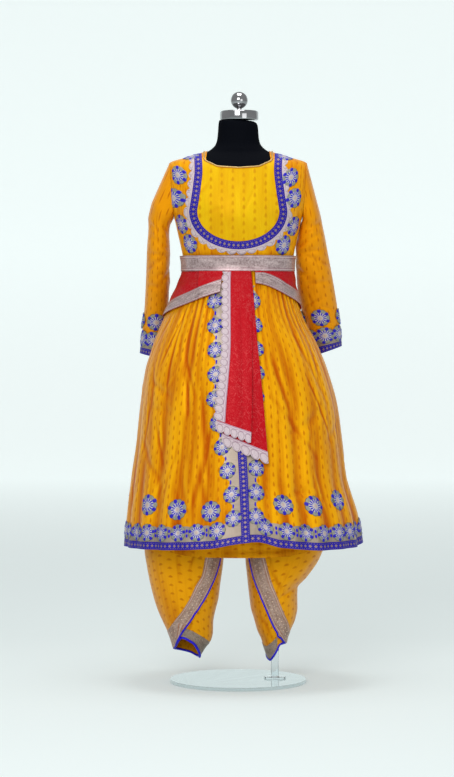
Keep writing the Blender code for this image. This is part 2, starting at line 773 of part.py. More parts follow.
def belt():
    """The belt: one strip round the waist, lapped over its own start."""
    turns = np.radians(BELT_START + np.linspace(0, 360 + BELT_LAP, BELT_SIDES))
    heights = (BELT_BOTTOM, BELT_TOP)
    climb = BELT_CLIMB * np.linspace(0, 1, BELT_SIDES) ** 2
    grid = np.zeros((len(heights), BELT_SIDES, 3))
    for row, z in enumerate(heights):
        for col, angle in enumerate(turns):
            x, cosine = torso_half(z) * math.sin(angle), math.cos(angle)
            deep = torso_front(z) if cosine > 0 else torso_back(z)
            way = np.array([math.sin(angle) / torso_half(z), -cosine / deep, 0])
            lift = BELT_LIFT + CLOTH + climb[col] + BELT_FRONT_LIFT * ease(cosine, 0.2, 0.8)
            grid[row, col] = np.array([x, -deep * cosine, z]) + way / np.linalg.norm(way) * lift
    wall("belt_band", grid, silver)


# Sash: height of its lower edge by angle from the front; it hangs lower on the right hip.
SASH_EDGE = (
    ("angle", "height"),
    (-180, 0.985),
    (-120, 0.982),
    (-90, 0.992),
    (-60, 1.012),
    (-14, 1.056),
    (15, 1.078),
    (60, 1.040),
    (90, 1.016),
    (135, 0.990),
    (180, 0.985),
)
sash_edge = column(SASH_EDGE, "height")
SASH_TOP = BELT_BOTTOM - 0.0005
SASH_GAP = 0.0010
SASH_LIFT = 0.0028
SASH_CREASE = 0.0012
UNDER_SASH = (
    "skirt_front_right",
    "skirt_front_left",
    "skirt_back",
    "front_band_right",
    "front_ribbon_right",
    "front_band_left",
    "front_ribbon_left",
)


def over_skirt(angle, z):
    """How far the gathers, the overlap and the trims stand out of the skirt's smooth form."""
    x = skirt_point(angle, z)[0]
    front = math.cos(angle) > 0
    gathers = gather_depth((z - 0.372) * SKIRT_DROP / (WAIST_Z - 0.372))
    lapped = overlap(x, z) * (front and x < 0.04)
    return gathers + lapped + (BAND_GAP + TRIM) * (front and -0.10 < x < 0.06)


def sash_stretch(name, start, end, columns, finish, border):
    """One stretch of the sash round the hips, with its border along the lower edge."""
    angles = np.radians(np.linspace(start, end, columns))
    levels = 4
    grid = np.zeros((levels, columns, 3))
    for col, angle in enumerate(angles):
        low = sash_edge((math.degrees(angle) + 180) % 360 - 180)
        band = min(SASH_BORDER, SASH_TOP - low - 0.004)
        heights = np.concatenate([[low], np.linspace(low + band, SASH_TOP, levels - 1)])
        for row, z in enumerate(heights):
            crease = SASH_CREASE * math.sin(2.4 * row + 2 * angle) * (0 < row < levels - 1)
            lift = over_skirt(angle, z) + SASH_LIFT + CLOTH + crease
            grid[row, col] = skirt_point(angle, z, lift)
    out = outward(grid)
    out[-1, :, 2] = 0
    out /= np.linalg.norm(out, axis=2, keepdims=True)
    grid = settled(grid, out, CLOTH, SASH_GAP, UNDER_SASH)
    panel = wall(name, grid, finish, out)
    cols = np.arange(columns, dtype=float)
    cols[0], cols[-1] = 0.02, columns - 1.02
    lay(name.replace("wrap", "border"), panel, np.array([[0.0], [0.98]]), cols[None, :], border)


# Tails: their left and right edges seen from the front, and how far they stand out.
TAIL_COLUMNS = ("height", "left_x", "right_x", "lift")
FRONT_TAIL = (
    TAIL_COLUMNS,
    (1.1105, -0.0340, 0.0310, 0.0092),
    (1.0850, -0.0350, 0.0310, 0.0132),
    (0.9260, -0.0360, 0.0340, 0.0130),
    (0.7480, -0.0510, 0.0330, 0.0140),
    (0.6600, -0.0570, 0.0305, 0.0140),
)
BACK_TAIL = (
    TAIL_COLUMNS,
    (1.1105, -0.0300, 0.0325, 0.0066),
    (1.0850, -0.0300, 0.0345, 0.0098),
    (0.9275, -0.0320, 0.0470, 0.0095),
    (0.8380, -0.0340, 0.0560, 0.0100),
    (0.7036, -0.0380, 0.0680, 0.0102),
    (0.6000, -0.0420, 0.0760, 0.0102),
)
TAIL_WIDTH = 7
TAIL_WAVE = 0.0009


def tail(name, table, left_bottom, right_bottom, finish, below):
    """A sash end that hangs flat in front of the skirt, with a slanting lower edge."""
    left_x, right_x, lift = (column(table, field) for field in TAIL_COLUMNS[1:])
    rises = np.array([0, 0.052, 0.22, 0.45, 0.70, 0.93, 1.0])
    grid = np.zeros((len(rises), TAIL_WIDTH, 3))
    for col, share in enumerate(np.linspace(0, 1, TAIL_WIDTH)):
        bottom = left_bottom + share * (right_bottom - left_bottom)
        for row, rise in enumerate(rises):
            z = bottom + rise * (SASH_TOP - bottom)
            x = left_x(z) + share * (right_x(z) - left_x(z))
            wave = TAIL_WAVE * math.sin(5.2 * share + 1.0) * (1 - ease(z, 0.95, 1.08))
            grid[row, col] = skirt_point(angle_at(x, z), z, lift(z) + abs(wave))
    out = outward(grid)
    out[-1, :, 2] = 0
    out /= np.linalg.norm(out, axis=2, keepdims=True)
    grid = settled(grid, out, CLOTH, SASH_GAP, below)
    return wall(name, grid, finish, out)


def sash():
    """Three stretches round the hips and two tails."""
    sash_stretch("sash_wrap_right", -90, -15.5, 14, crimson, silver)
    sash_stretch("sash_wrap_left", 17, 89.3, 12, crimson, silver)
    sash_stretch("sash_wrap_back", 90.1, 269.8, 25, crimson, silver)
    wide = np.arange(TAIL_WIDTH, dtype=float)
    bottom = np.array([[0.0], [0.98]])
    back = tail("sash_tail_back", BACK_TAIL, 0.6640, 0.6140, crimson, UNDER_SASH)
    lay("tail_lace_back", back, bottom, wide[None, :], silver)
    below = (*UNDER_SASH, "sash_tail_back")
    front = tail("sash_tail_front", FRONT_TAIL, 0.6993, 0.6680, crimson, below)
    lay("tail_lace_front", front, bottom, wide[None, :], silver)
    rows = steps(1.0, 6.0)
    lay("tail_border_front", front, rows[:, None], np.array([[0.0, 1.0, 2.0]]), silver)


# Dhoti body, from under the waistband to its low crotch.
DHOTI_BODY = (
    ("height", "half_width", "front", "back"),
    (0.990, 0.1580, 0.108, 0.112),
    (0.850, 0.1900, 0.124, 0.126),
    (0.700, 0.2150, 0.136, 0.134),
    (0.550, 0.2380, 0.146, 0.142),
    (0.470, 0.2530, 0.148, 0.145),
    (0.400, 0.2600, 0.150, 0.148),
    (0.340, 0.2630, 0.150, 0.150),
)
WAISTBAND_TOP = 1.078
WAISTBAND_BOTTOM = 1.045
PLEAT_DEPTH = 0.0030
WAISTBAND_THICK = 0.0020
WAISTBAND_GAP = 0.0004
BODY_GAP = 0.0006


def body_bottom(angle):
    """Height of the dhoti body's lower edge: low in front and behind, high at the sides."""
    return 0.350 + 0.052 * math.sin(angle) ** 4


def dhoti_body():
    """Waistband on the form and the pleated tube that hangs from it."""
    half, front, back = (column(DHOTI_BODY, name) for name in DHOTI_BODY[0][1:])
    out = WAISTBAND_GAP + WAISTBAND_THICK
    band = [form_ring(z, out) for z in (WAISTBAND_BOTTOM, WAISTBAND_TOP)]
    wall("dhoti_waistband", np.array(band), silk, thickness=WAISTBAND_THICK, ring=True)
    top = form_ring(WAISTBAND_BOTTOM - SEAM, BODY_GAP + CLOTH)
    rows = [top]
    for rise in (0.84, 0.64, 0.42, 0.18, 0.0):
        ring = []
        for number in range(FORM_SIDES):
            angle = 2 * math.pi * number / FORM_SIDES
            bottom = body_bottom(angle)
            z = bottom + rise * (WAISTBAND_BOTTOM - bottom)
            deep = front(z) if math.cos(angle) > 0 else back(z)
            swing = PLEAT_DEPTH * (-1) ** number * (abs(math.sin(angle)) < 0.9)
            x = (half(z) + swing) * math.sin(angle)
            ring.append((x, -(deep + swing) * math.cos(angle), z))
        rows.append(np.array(ring))
    wall("dhoti_body", np.array(rows[::-1]), silk, ring=True)


# Legs, from above the body's edge down: edges seen from the front, and the depth.
LEG_COLUMNS = ("height", "left_x", "right_x", "centre_y", "half_depth")
RIGHT_LEG = (
    LEG_COLUMNS,
    (0.470, -0.2482, -0.036, 0.000, 0.082),
    (0.400, -0.2500, -0.036, -0.002, 0.090),
    (0.362, -0.2500, -0.037, -0.004, 0.092),
    (0.317, -0.2440, -0.041, -0.004, 0.090),
    (0.268, -0.2345, -0.048, -0.004, 0.084),
    (0.228, -0.2245, -0.053, -0.004, 0.077),
    (0.192, -0.2125, -0.062, -0.003, 0.069),
    (0.165, -0.2005, -0.067, -0.002, 0.062),
    (0.136, -0.1872, -0.068, 0.000, 0.054),
    (0.115, -0.1795, -0.0725, 0.000, 0.048),
    (0.095, -0.1735, -0.088, 0.000, 0.042),
    (0.063, -0.1640, -0.108, 0.000, 0.038),
)
LEFT_LEG = (
    LEG_COLUMNS,
    (0.470, 0.0190, 0.2482, 0.000, 0.082),
    (0.400, 0.0190, 0.2440, -0.002, 0.092),
    (0.362, 0.0190, 0.2280, -0.004, 0.092),
    (0.329, 0.0200, 0.2130, -0.004, 0.090),
    (0.288, 0.0243, 0.1840, -0.004, 0.085),
    (0.256, 0.0275, 0.1580, -0.003, 0.079),
    (0.235, 0.0300, 0.1572, -0.002, 0.076),
    (0.203, 0.0340, 0.1577, 0.000, 0.070),
    (0.172, 0.0430, 0.1520, 0.001, 0.062),
    (0.140, 0.0520, 0.1385, 0.002, 0.054),
    (0.119, 0.0618, 0.1310, 0.003, 0.047),
    (0.100, 0.0680, 0.1280, 0.004, 0.042),
    (0.059, 0.0820, 0.1280, 0.004, 0.036),
)
LEG_TOP = 0.470
LEG_SIDES = 16
FLAP_GAP = 0.0009
BORDER_GAP = 0.0009
# A flap's rows, as row numbers of its leg, and its columns: how far round the leg the
# plain ones reach, how many they are, and how many more its border takes.
FLAP_LEVELS = np.array([0.2, 1, 2, 3, 4, 5, 6, 6.4])
FLAP_WRAP = 2.25
PLAIN_COLUMNS = 8
BORDER_COLUMNS = 3
LEG_RISES = np.array([0, 0.020, 0.095, 0.20, 0.34, 0.52, 0.74, 1.0])

# Height of each leg's lower edge by angle, 0 in front and 90 on the photo's right.
RIGHT_ANKLE = (
    ("angle", "height"),
    (-180, 0.076),
    (-120, 0.086),
    (-90, 0.090),
    (-60, 0.098),
    (-24, 0.124),
    (0, 0.113),
    (30, 0.092),
    (60, 0.075),
    (90, 0.066),
    (130, 0.067),
    (180, 0.076),
)
LEFT_ANKLE = (
    ("angle", "height"),
    (-180, 0.088),
    (-120, 0.076),
    (-80, 0.066),
    (-50, 0.060),
    (-15, 0.072),
    (10, 0.088),
    (30, 0.104),
    (60, 0.108),
    (90, 0.104),
    (140, 0.096),
    (180, 0.088),
)
# Border on each flap: x of its outer and inner edge by height.
RIGHT_BORDER = (
    ("height", "outer_x", "inner_x"),
    (0.400, -0.0800, -0.0440),
    (0.336, -0.0910, -0.0515),
    (0.297, -0.0990, -0.0625),
    (0.268, -0.1150, -0.0745),
    (0.235, -0.1300, -0.0910),
    (0.203, -0.1490, -0.1110),
    (0.175, -0.1680, -0.1285),
    (0.141, -0.1880, -0.1500),
    (0.120, -0.1850, -0.1600),
    (0.096, -0.1755, -0.1700),
)
LEFT_BORDER = (
    ("height", "outer_x", "inner_x"),
    (0.400, 0.0600, 0.0240),
    (0.336, 0.0750, 0.0335),
    (0.293, 0.0860, 0.0430),
    (0.256, 0.0980, 0.0560),
    (0.223, 0.1100, 0.0690),
    (0.189, 0.1235, 0.0830),
    (0.158, 0.1345, 0.0955),
    (0.131, 0.1375, 0.1100),
    (0.107, 0.1305, 0.1245),
)


def leg_point(fields, angle, z, lift=0.0):
    """A point of a leg's round section, moved out level by lift."""
    left, right, centre, deep = (read(z) for read in fields)
    half = (right - left) / 2
    way = np.array([math.sin(angle) / half, -math.cos(angle) / deep, 0])
    base = np.array([(left + right) / 2 + half * math.sin(angle), centre, z])
    base[1] -= deep * math.cos(angle)
    return base + way / np.linalg.norm(way) * lift


def leg(which, table, ankle, edge, outer_side):
    """A leg's tube, its lapped front flap and their borders and pipings."""
    fields = [column(table, name) for name in LEG_COLUMNS[1:]]
    ankle_z = column(ankle, "height")
    grid = np.zeros((len(LEG_RISES), LEG_SIDES, 3))
    for col in range(LEG_SIDES):
        turn = -180 + 360 * col / LEG_SIDES
        for row, rise in enumerate(LEG_RISES):
            z = ankle_z(turn) + rise * (LEG_TOP - ankle_z(turn))
            grid[row, col] = leg_point(fields, math.radians(turn), z)
    out = outward(grid, ring=True)
    out[-1, :, 2] = 0
    out /= np.linalg.norm(out, axis=2, keepdims=True)
    tube = wall(f"dhoti_leg_{which}", grid, silk, out, ring=True)
    all_round = np.arange(LEG_SIDES)
    lay(
        f"ankle_piping_{which}",
        tube,
        np.array([[0.0], [0.97]]),
        all_round[None, :],
        piping_blue,
        ring=True,
    )
    first, last = (8, 13) if outer_side < 0 else (4, 8)
    lay(
        f"ankle_border_{which}",
        tube,
        np.array([[1.0], [1.98]]),
        steps(first, last)[None, :],
        dhoti_border,
    )
    flap(which, tube, fields, ankle_z, edge, outer_side)


def flap(which, tube, fields, ankle_z, edge, side):
    """The front flap of a leg, with its border and a piping along the inner edge."""
    outer_x, inner_x = column(edge, "outer_x"), column(edge, "inner_x")
    plain = PLAIN_COLUMNS
    columns = plain + BORDER_COLUMNS
    rows = np.repeat(FLAP_LEVELS[:, None], columns, 1)
    cols = np.zeros(rows.shape)
    for row, level in enumerate(FLAP_LEVELS):
        rise = np.interp(level, range(len(LEG_RISES)), LEG_RISES)
        ends = [side * 0.5, side * 0.5]
        for _ in range(6):
            for number, limit in enumerate((outer_x, inner_x)):
                foot = ankle_z(math.degrees(ends[number]))
                z = foot + rise * (LEG_TOP - foot)
                left, right = fields[0](z), fields[1](z)
                share = (limit(z) - (left + right) / 2) / ((right - left) / 2)
                ends[number] = math.asin(np.clip(share, -0.985, 0.985))
        ends[1] = max(ends[1], ends[0] + 0.25) if side < 0 else min(ends[1], ends[0] - 0.25)
        wrapped = np.linspace(side * FLAP_WRAP, ends[0], plain)
        bordered = np.linspace(ends[0], ends[1], BORDER_COLUMNS + 1)[1:]
        line = np.concatenate([wrapped, bordered])
        cols[row] = (np.degrees(line if side < 0 else line[::-1]) + 180) / 360 * LEG_SIDES
    name = f"dhoti_flap_{which}"
    panel = lay(name, tube, rows, cols, silk, FLAP_GAP, CLOTH, below=[f"ankle_piping_{which}"])
    rows = np.arange(len(FLAP_LEVELS))
    border = np.array([plain - 1, plain, plain + 1, plain + 1.82])
    piping = np.array([plain + 1.86, plain + 2])
    if side > 0:
        border, piping = (columns - 1 - border)[::-1], (columns - 1 - piping)[::-1]
    lay(f"flap_border_{which}", panel, rows[:, None], border[None, :], dhoti_border, BORDER_GAP)
    lay(f"flap_piping_{which}", panel, rows[:, None], piping[None, :], piping_blue, BORDER_GAP)


# Form: sections of its black body below the waist and of its neck.
HIPS = (
    ("height", "half_width", "front", "back"),
    (1.125, 0.1370, 0.090, 0.079),
    (1.078, 0.1395, 0.092, 0.084),
    (1.045, 0.1440, 0.095, 0.090),
    (0.960, 0.1590, 0.102, 0.104),
    (0.850, 0.1680, 0.106, 0.112),
    (0.800, 0.1650, 0.104, 0.108),
    (0.775, 0.1560, 0.099, 0.101),
)
NECK = (
    ("height", "half_width", "front", "back"),
    (1.4385, 0.0735, 0.049, 0.062),
    (1.4500, 0.0610, 0.044, 0.062),
    (1.4650, 0.0565, 0.042, 0.064),
    (1.4900, 0.0545, 0.040, 0.066),
    (1.5175, 0.0527, 0.040, 0.066),
)
FORM_SIDES = 28
FORM_CLEAR = (
    ("height", "clear"),
    (1.435, 0.0036),
    (1.400, 0.0045),
    (1.360, 0.0060),
    (1.250, 0.0080),
    (1.125, 0.0092),
)
form_clear = column(FORM_CLEAR, "clear")
ARM_PLATE = 0.0040


def form_ring(z, lift=0.0):
    """The form's section at a height below the waist, moved out by lift."""
    half, front, back = (column(HIPS, name)(z) for name in HIPS[0][1:])
    ring = []
    for number in range(FORM_SIDES):
        angle = 2 * math.pi * number / FORM_SIDES
        deep = front if math.cos(angle) > 0 else back
        ring.append(((half + lift) * math.sin(angle), -(deep + lift) * math.cos(angle), z))
    return np.array(ring)


def form():
    """Limbless form of torso and neck, with its chrome cap and finial."""
    rings = [form_ring(row[0]) for row in reversed(HIPS[1:])]
    angles = 2 * math.pi * np.arange(FORM_SIDES) / FORM_SIDES
    levels = np.array([1.18, 1.24, 1.30, 1.35, 1.382, 1.398, 1.412, 1.424, 1.433])
    chest = []
    for z in levels:
        half = torso_half(z)
        line = []
        for angle in angles:
            side = -1 if math.cos(angle) > 0 else 1
            x = half * math.sin(angle)
            line.append((x, torso_depth(x, z, side), z))
        chest.append(line)
    chest = np.array(chest)
    way = outward(chest, ring=True)
    chest = chest - way * form_clear(levels)[:, None, None]
    arm = armhole_x(levels)[:, None] - ARM_PLATE
    chest[..., 0] = np.clip(chest[..., 0], -arm, arm)
    rings += list(chest)
    for z, half, front, back in NECK[1:]:
        line = []
        for angle in angles:
            deep = front if math.cos(angle) > 0 else back
            line.append((half * math.sin(angle), -deep * math.cos(angle), z))
        rings.append(np.array(line))
    loft("form_torso", rings, form_black)
    turned("form_neck_cap", (0.003, 0.013), CAP_PROFILE, chrome, sides=20, squash=0.98)
    turned("form_finial", (0.003, 0.013), finial_profile(), chrome, sides=16)


def loft(name, rings, finish):
    """A solid through closed rings of points, capped at both ends."""
    count = len(rings[0])
    points = np.concatenate(rings + [rings[0].mean(0)[None], rings[-1].mean(0)[None]])
    faces = []
    for row in range(len(rings) - 1):
        for col in range(count):
            a, b = row * count + col, row * count + (col + 1) % count
            faces += [(a, b, b + count), (a, b + count, a + count)]
    low, high = len(points) - 2, len(points) - 1
    start = (len(rings) - 1) * count
    for col in range(count):
        faces.append((low, (col + 1) % count, col))
        faces.append((high, start + col, start + (col + 1) % count))
    solid(name, points, faces, finish)


CAP_PROFILE = ((0.0490, 1.5180), (0.0515, 1.5190), (0.0520, 1.5410), (0.0490, 1.5435))


def finial_profile():
    """Radius and height up the finial: a short stem and a ball."""
    ball, middle, stem = 0.0232, 1.5720, 0.0070
    start = math.asin(stem / ball)
    turns = np.linspace(math.pi - start, 0.25, 8)
    arc = [(ball * math.sin(turn), middle + ball * math.cos(turn)) for turn in turns]
    return [(stem, 1.5438)] + arc


def turned(name, centre, profile, finish, sides=24, squash=1.0):
    """A solid turned about an upright axis, from its radius and height upwards."""
    angles = 2 * math.pi * np.arange(sides) / sides
    rings = []
    for radius, z in profile:
        x = centre[0] + radius * np.sin(angles)
        y = centre[1] - radius * squash * np.cos(angles)
        rings.append(np.stack([x, y, np.full(sides, z)], axis=1))
    loft(name, rings, finish)


def stand():
    """Rod with a flange at each end, and the base plate it stands on."""
    foot, head = BASE_THICK + SEAM, FORM_BOTTOM - SEAM
    flange, thick = 0.030, 0.006
    rod = (
        (flange - 0.001, foot),
        (flange, foot + 0.001),
        (flange, foot + thick - 0.002),
        (ROD_RADIUS, foot + thick),
        (ROD_RADIUS, head - thick),
        (flange, head - thick + 0.002),
        (flange, head),
    )
    turned("stand_rod", (ROD_X, ROD_Y), rod, glass, sides=16)
    edge = 0.0015
    plate = (
        (BASE_RADIUS - edge, 0.0),
        (BASE_RADIUS, edge),
        (BASE_RADIUS, BASE_THICK - edge),
        (BASE_RADIUS - edge, BASE_THICK),
    )
    turned("stand_base", (0.0, 0.0), plate, glass, sides=40)


for old in list(bpy.data.objects):
    bpy.data.objects.remove(old, do_unlink=True)

silk = material("golden_silk", (0.86, 0.42, 0.02), 0.42)
lemon = material("lemon_silk", (0.90, 0.66, 0.05), 0.45)
crimson = material("crimson_silk", (0.62, 0.01, 0.04), 0.40)
silver = material("silver_lace", (0.78, 0.74, 0.74), 0.35, 0.4)
tissue = material("silver_tissue", (0.60, 0.54, 0.44), 0.38, 0.5)
dhoti_border = material("mauve_border", (0.58, 0.46, 0.42), 0.45, 0.2)
ribbon_blue = material("blue_ribbon", (0.03, 0.02, 0.55), 0.50)
piping_blue = material("blue_piping", (0.02, 0.01, 0.50), 0.55)
gold = material("gold_piping", (0.80, 0.55, 0.16), 0.35, 0.6)
form_black = material("form_black", (0.012, 0.012, 0.013), 0.35)
chrome = material("chrome", (0.82, 0.83, 0.85), 0.12, 1.0)
glass = material("clear_plate", (0.86, 0.90, 0.92), 0.08)

form()
stand()
bodice()
sleeve("sleeve_right", -1, RIGHT_SLEEVE, silk)
sleeve("sleeve_left", 1, LEFT_SLEEVE, silk)
skirt()
belt()
sash()
dhoti_body()
leg("right", RIGHT_LEG, RIGHT_ANKLE, RIGHT_BORDER, -1)
leg("left", LEFT_LEG, LEFT_ANKLE, LEFT_BORDER, 1)
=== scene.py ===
# %% [markdown]
# # An anarkali dance costume on a limbless dress form
# The costume is a silk tunic with a gathered skirt that flares to the calf, a brocade sash
# wound round the hips with two hanging ends, and dhoti trousers whose legs lap over in
# front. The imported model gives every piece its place. Each cloth piece is made again here
# as a fine thin shell on the same form, and then gets its weave, motifs and creases.
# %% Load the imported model
import math

import bmesh
import bpy
import numpy as np
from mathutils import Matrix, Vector


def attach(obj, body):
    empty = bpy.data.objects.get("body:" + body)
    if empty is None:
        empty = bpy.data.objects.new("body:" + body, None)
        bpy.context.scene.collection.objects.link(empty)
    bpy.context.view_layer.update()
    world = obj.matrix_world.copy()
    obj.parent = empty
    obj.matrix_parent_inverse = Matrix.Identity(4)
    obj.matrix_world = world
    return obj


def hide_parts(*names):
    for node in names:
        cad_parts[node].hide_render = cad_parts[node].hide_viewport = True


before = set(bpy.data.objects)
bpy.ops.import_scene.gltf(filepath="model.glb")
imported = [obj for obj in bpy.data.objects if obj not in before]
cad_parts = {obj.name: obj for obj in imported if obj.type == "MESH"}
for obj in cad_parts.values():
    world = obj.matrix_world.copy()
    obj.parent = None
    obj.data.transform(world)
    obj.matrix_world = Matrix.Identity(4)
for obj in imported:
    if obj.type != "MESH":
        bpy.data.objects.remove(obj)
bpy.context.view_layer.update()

print("nodes in the model:", len(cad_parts))

# %% [markdown]
# ## Curves from short tables
# A dressmaker describes a form with a few measured sections. A table of such sections,
# joined by a curve that never overshoots, is easier to read and to correct than a mesh.
# %% Curves through table columns
def curve(rows, name):
    """A smooth function of a table's first column, which gives its column of that name."""
    at = rows[0].index(name)
    points = sorted((row[0], row[at]) for row in rows[1:])
    xs = np.array([point[0] for point in points])
    ys = np.array([point[1] for point in points])
    step = np.diff(xs)
    slope = np.diff(ys) / step
    before, after = slope[:-1], slope[1:]
    turns = before * after <= 0
    mean = 2 * before * after / np.where(turns, 1, before + after)
    tangent = np.concatenate([slope[:1], np.where(turns, 0, mean), slope[-1:]])

    def value(x):
        x = np.clip(x, xs[0], xs[-1])
        i = np.clip(np.searchsorted(xs, x) - 1, 0, len(step) - 1)
        t = (x - xs[i]) / step[i]
        left = ys[i] + (3 * t**2 - 2 * t**3) * (ys[i + 1] - ys[i])
        return left + step[i] * t * (1 - t) * ((1 - t) * tangent[i] - t * tangent[i + 1])

    return value


def ease(x, start, end):
    """0 before start, 1 past end, and smooth between them."""
    t = np.clip((np.asarray(x) - start) / (end - start), 0, 1)
    return t * t * (3 - 2 * t)


def creases(table):
    """Soft creases that draw the cloth in; each runs between two points, wide and deep."""
    cell = 0.0015
    ends = np.array([row[:4] for row in table]).reshape(-1, 2)
    low, high = ends.min(0) - 0.05, ends.max(0) + 0.05
    xs, ys = (np.arange(a, b, cell) for a, b in zip(low, high))
    field = np.zeros((len(ys), len(xs)))
    for x0, y0, x1, y1, width, depth in table:
        reach = 3 * width
        cols = slice(*np.searchsorted(xs, (min(x0, x1) - reach, max(x0, x1) + reach)))
        rows = slice(*np.searchsorted(ys, (min(y0, y1) - reach, max(y0, y1) + reach)))
        x, y = np.meshgrid(xs[cols], ys[rows])
        dx, dy = x1 - x0, y1 - y0
        t = np.clip(((x - x0) * dx + (y - y0) * dy) / (dx * dx + dy * dy), 0, 1)
        away = np.hypot(x - x0 - t * dx, y - y0 - t * dy)
        deepest = depth * (0.35 + 0.65 * np.sin(np.pi * t))
        field[rows, cols] += deepest * np.exp(-((away / width) ** 2))

    def drawn(x, y):
        c = np.clip((x - low[0]) / cell, 0, len(xs) - 1.001)
        r = np.clip((y - low[1]) / cell, 0, len(ys) - 1.001)
        i, j = r.astype(int), c.astype(int)
        r, c = r - i, c - j
        upper = field[i, j] * (1 - c) + field[i, j + 1] * c
        return upper * (1 - r) + (field[i + 1, j] * (1 - c) + field[i + 1, j + 1] * c) * r

    return drawn


def scattered(seed, count, left, right, low, high, lean, length, width, depth):
    """A table of uneven creases over a rectangle, leaning about that far from upright."""
    rng = np.random.default_rng(seed)
    rows = []
    for _ in range(count):
        x, y = rng.uniform(left, right), rng.uniform(low, high)
        long, tilt = length * rng.uniform(0.5, 1.3), lean * rng.normal()
        across, up = long * math.sin(tilt) / 2, long * math.cos(tilt) / 2
        deep = depth * rng.uniform(0.4, 1.0) * rng.choice([-0.7, 1.0])
        rows.append((x - across, y - up, x + across, y + up, width * rng.uniform(0.6, 1.4), deep))
    return rows

# %% [markdown]
# ## Surfaces that trims can follow
# A trim follows the cloth under it, folds and all. If each form is kept as a function of
# two numbers, the trim is just a smaller part of the same surface, moved out a little.
# %% Surface class
class Surface:
    """A cloth form: point(u, v) gives places, at() can move them outwards."""

    def __init__(self, point, u_range, v_range, ring=False):
        self.point, self.ring = point, ring
        self.u_range, self.v_range = u_range, v_range
        self.step = ((u_range[1] - u_range[0]) / 1500, (v_range[1] - v_range[0]) / 900)
        self.turn = 1
        u, v = np.array([[sum(u_range) / 2]]), np.array([[sum(v_range) / 2]])
        place = point(u, v)[0, 0]
        if ring:
            inside = point(np.linspace(*u_range, 24, endpoint=False), np.full(24, v[0, 0])).mean(0)
        else:
            inside = np.array([0, 0, place[2]])
        if self.out(u, v)[0, 0] @ (place - inside) < 0:
            self.turn = -1

    def out(self, u, v):
        """The outward direction at each place."""
        low, high = (self.u_range if not self.ring else (-1e9, 1e9)), self.v_range
        du = self.point(np.minimum(u + self.step[0], low[1]), v)
        du = du - self.point(np.maximum(u - self.step[0], low[0]), v)
        dv = self.point(u, np.minimum(v + self.step[1], high[1]))
        dv = dv - self.point(u, np.maximum(v - self.step[1], high[0]))
        out = self.turn * np.cross(du, dv)
        return out / np.maximum(np.linalg.norm(out, axis=-1, keepdims=True), 1e-12)

    def at(self, u, v, lift=0.0):
        """Points of the surface, moved out by lift."""
        u, v = np.broadcast_arrays(np.asarray(u, float), np.asarray(v, float))
        lift = np.broadcast_to(lift, u.shape)
        return self.point(u, v) + self.out(u, v) * lift[..., None]


def blurred(grid, reach, ring):
    """A grid of points, averaged over its neighbours along its rows."""
    mode = "wrap" if ring else "edge"
    wide = np.pad(grid, ((0, 0), (reach, reach), (0, 0)), mode=mode)
    total = np.cumsum(np.pad(wide, ((0, 0), (1, 0), (0, 0))), axis=1)
    span = 2 * reach + 1
    return (total[:, span:] - total[:, :-span]) / span

# %% [markdown]
# ## From a grid of points to a sewn piece
# Real cloth has two sides and an edge. Solidify gives the sheet its thickness inwards, so
# its outside stays on the form. The UVs are in metres of flat cloth, so a motif has the
# same size on every piece. Where the sheet lies lower than its surroundings it gets a
# crease_shade value, and the silk and the crimson are painted deeper there: painted shade
# in the folds.
# %% Helpers for objects and meshes
made = {}


def linked(name, data):
    """A new object in the scene that holds a mesh, lamp or lens."""
    item = bpy.data.objects.new(name, data)
    bpy.context.collection.objects.link(item)
    return item


def picked(item):
    """Selects one object alone, because an operator acts on all that is selected."""
    bpy.ops.object.select_all(action="DESELECT")
    item.select_set(True)
    bpy.context.view_layer.objects.active = item


def turned_out(mesh):
    """Turns all faces of closed parts outwards."""
    work = bmesh.new()
    work.from_mesh(mesh)
    bmesh.ops.recalc_face_normals(work, faces=work.faces)
    work.to_mesh(mesh)
    work.free()


def unwrapped(mesh, flat):
    """Gives each face corner the UV of its point."""
    corners = np.zeros(len(mesh.loops), int)
    mesh.loops.foreach_get("vertex_index", corners)
    layer = mesh.uv_layers.new(name="cloth")
    layer.data.foreach_set("uv", flat[corners].astype(np.float32).reshape(-1))


def ring_faces(start, rings, spokes, closed=False):
    """Faces from ring to ring of points, with a face on both ends of an open row of rings."""
    index = start + np.arange(rings * spokes).reshape(rings, spokes)
    ends = [] if closed else [index[0, ::-1].tolist(), index[-1].tolist()]
    if closed:
        index = np.vstack([index, index[:1]])
    beside = np.roll(index, -1, axis=1)
    quads = np.stack([index[:-1], beside[:-1], beside[1:], index[1:]], axis=-1)
    return quads.reshape(-1, 4).tolist() + ends


def area_of(item):
    """The area of a mesh in square metres."""
    return sum(face.area for face in item.data.polygons)


def finish_piece(item, finish, stands_for):
    """Gives a piece its material and body, and hides the solids it stands for."""
    name = item.name.split(".")[0]
    made[name] = item
    item.name = f"{name}_cloth" if stands_for else name
    item.data.materials.append(finish.material)
    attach(item, "root")
    if stands_for:
        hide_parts(*stands_for)
    print(f"{item.name}: {len(item.data.polygons)} faces in {finish.material.name}")
    return item

# %% Building a sheet
CREASE_SHADE_DEPTH, FINE_WALL, TRIM_WALL, CLOTH_WALL = 0.0022, 0.0008, 0.0009, 0.0010


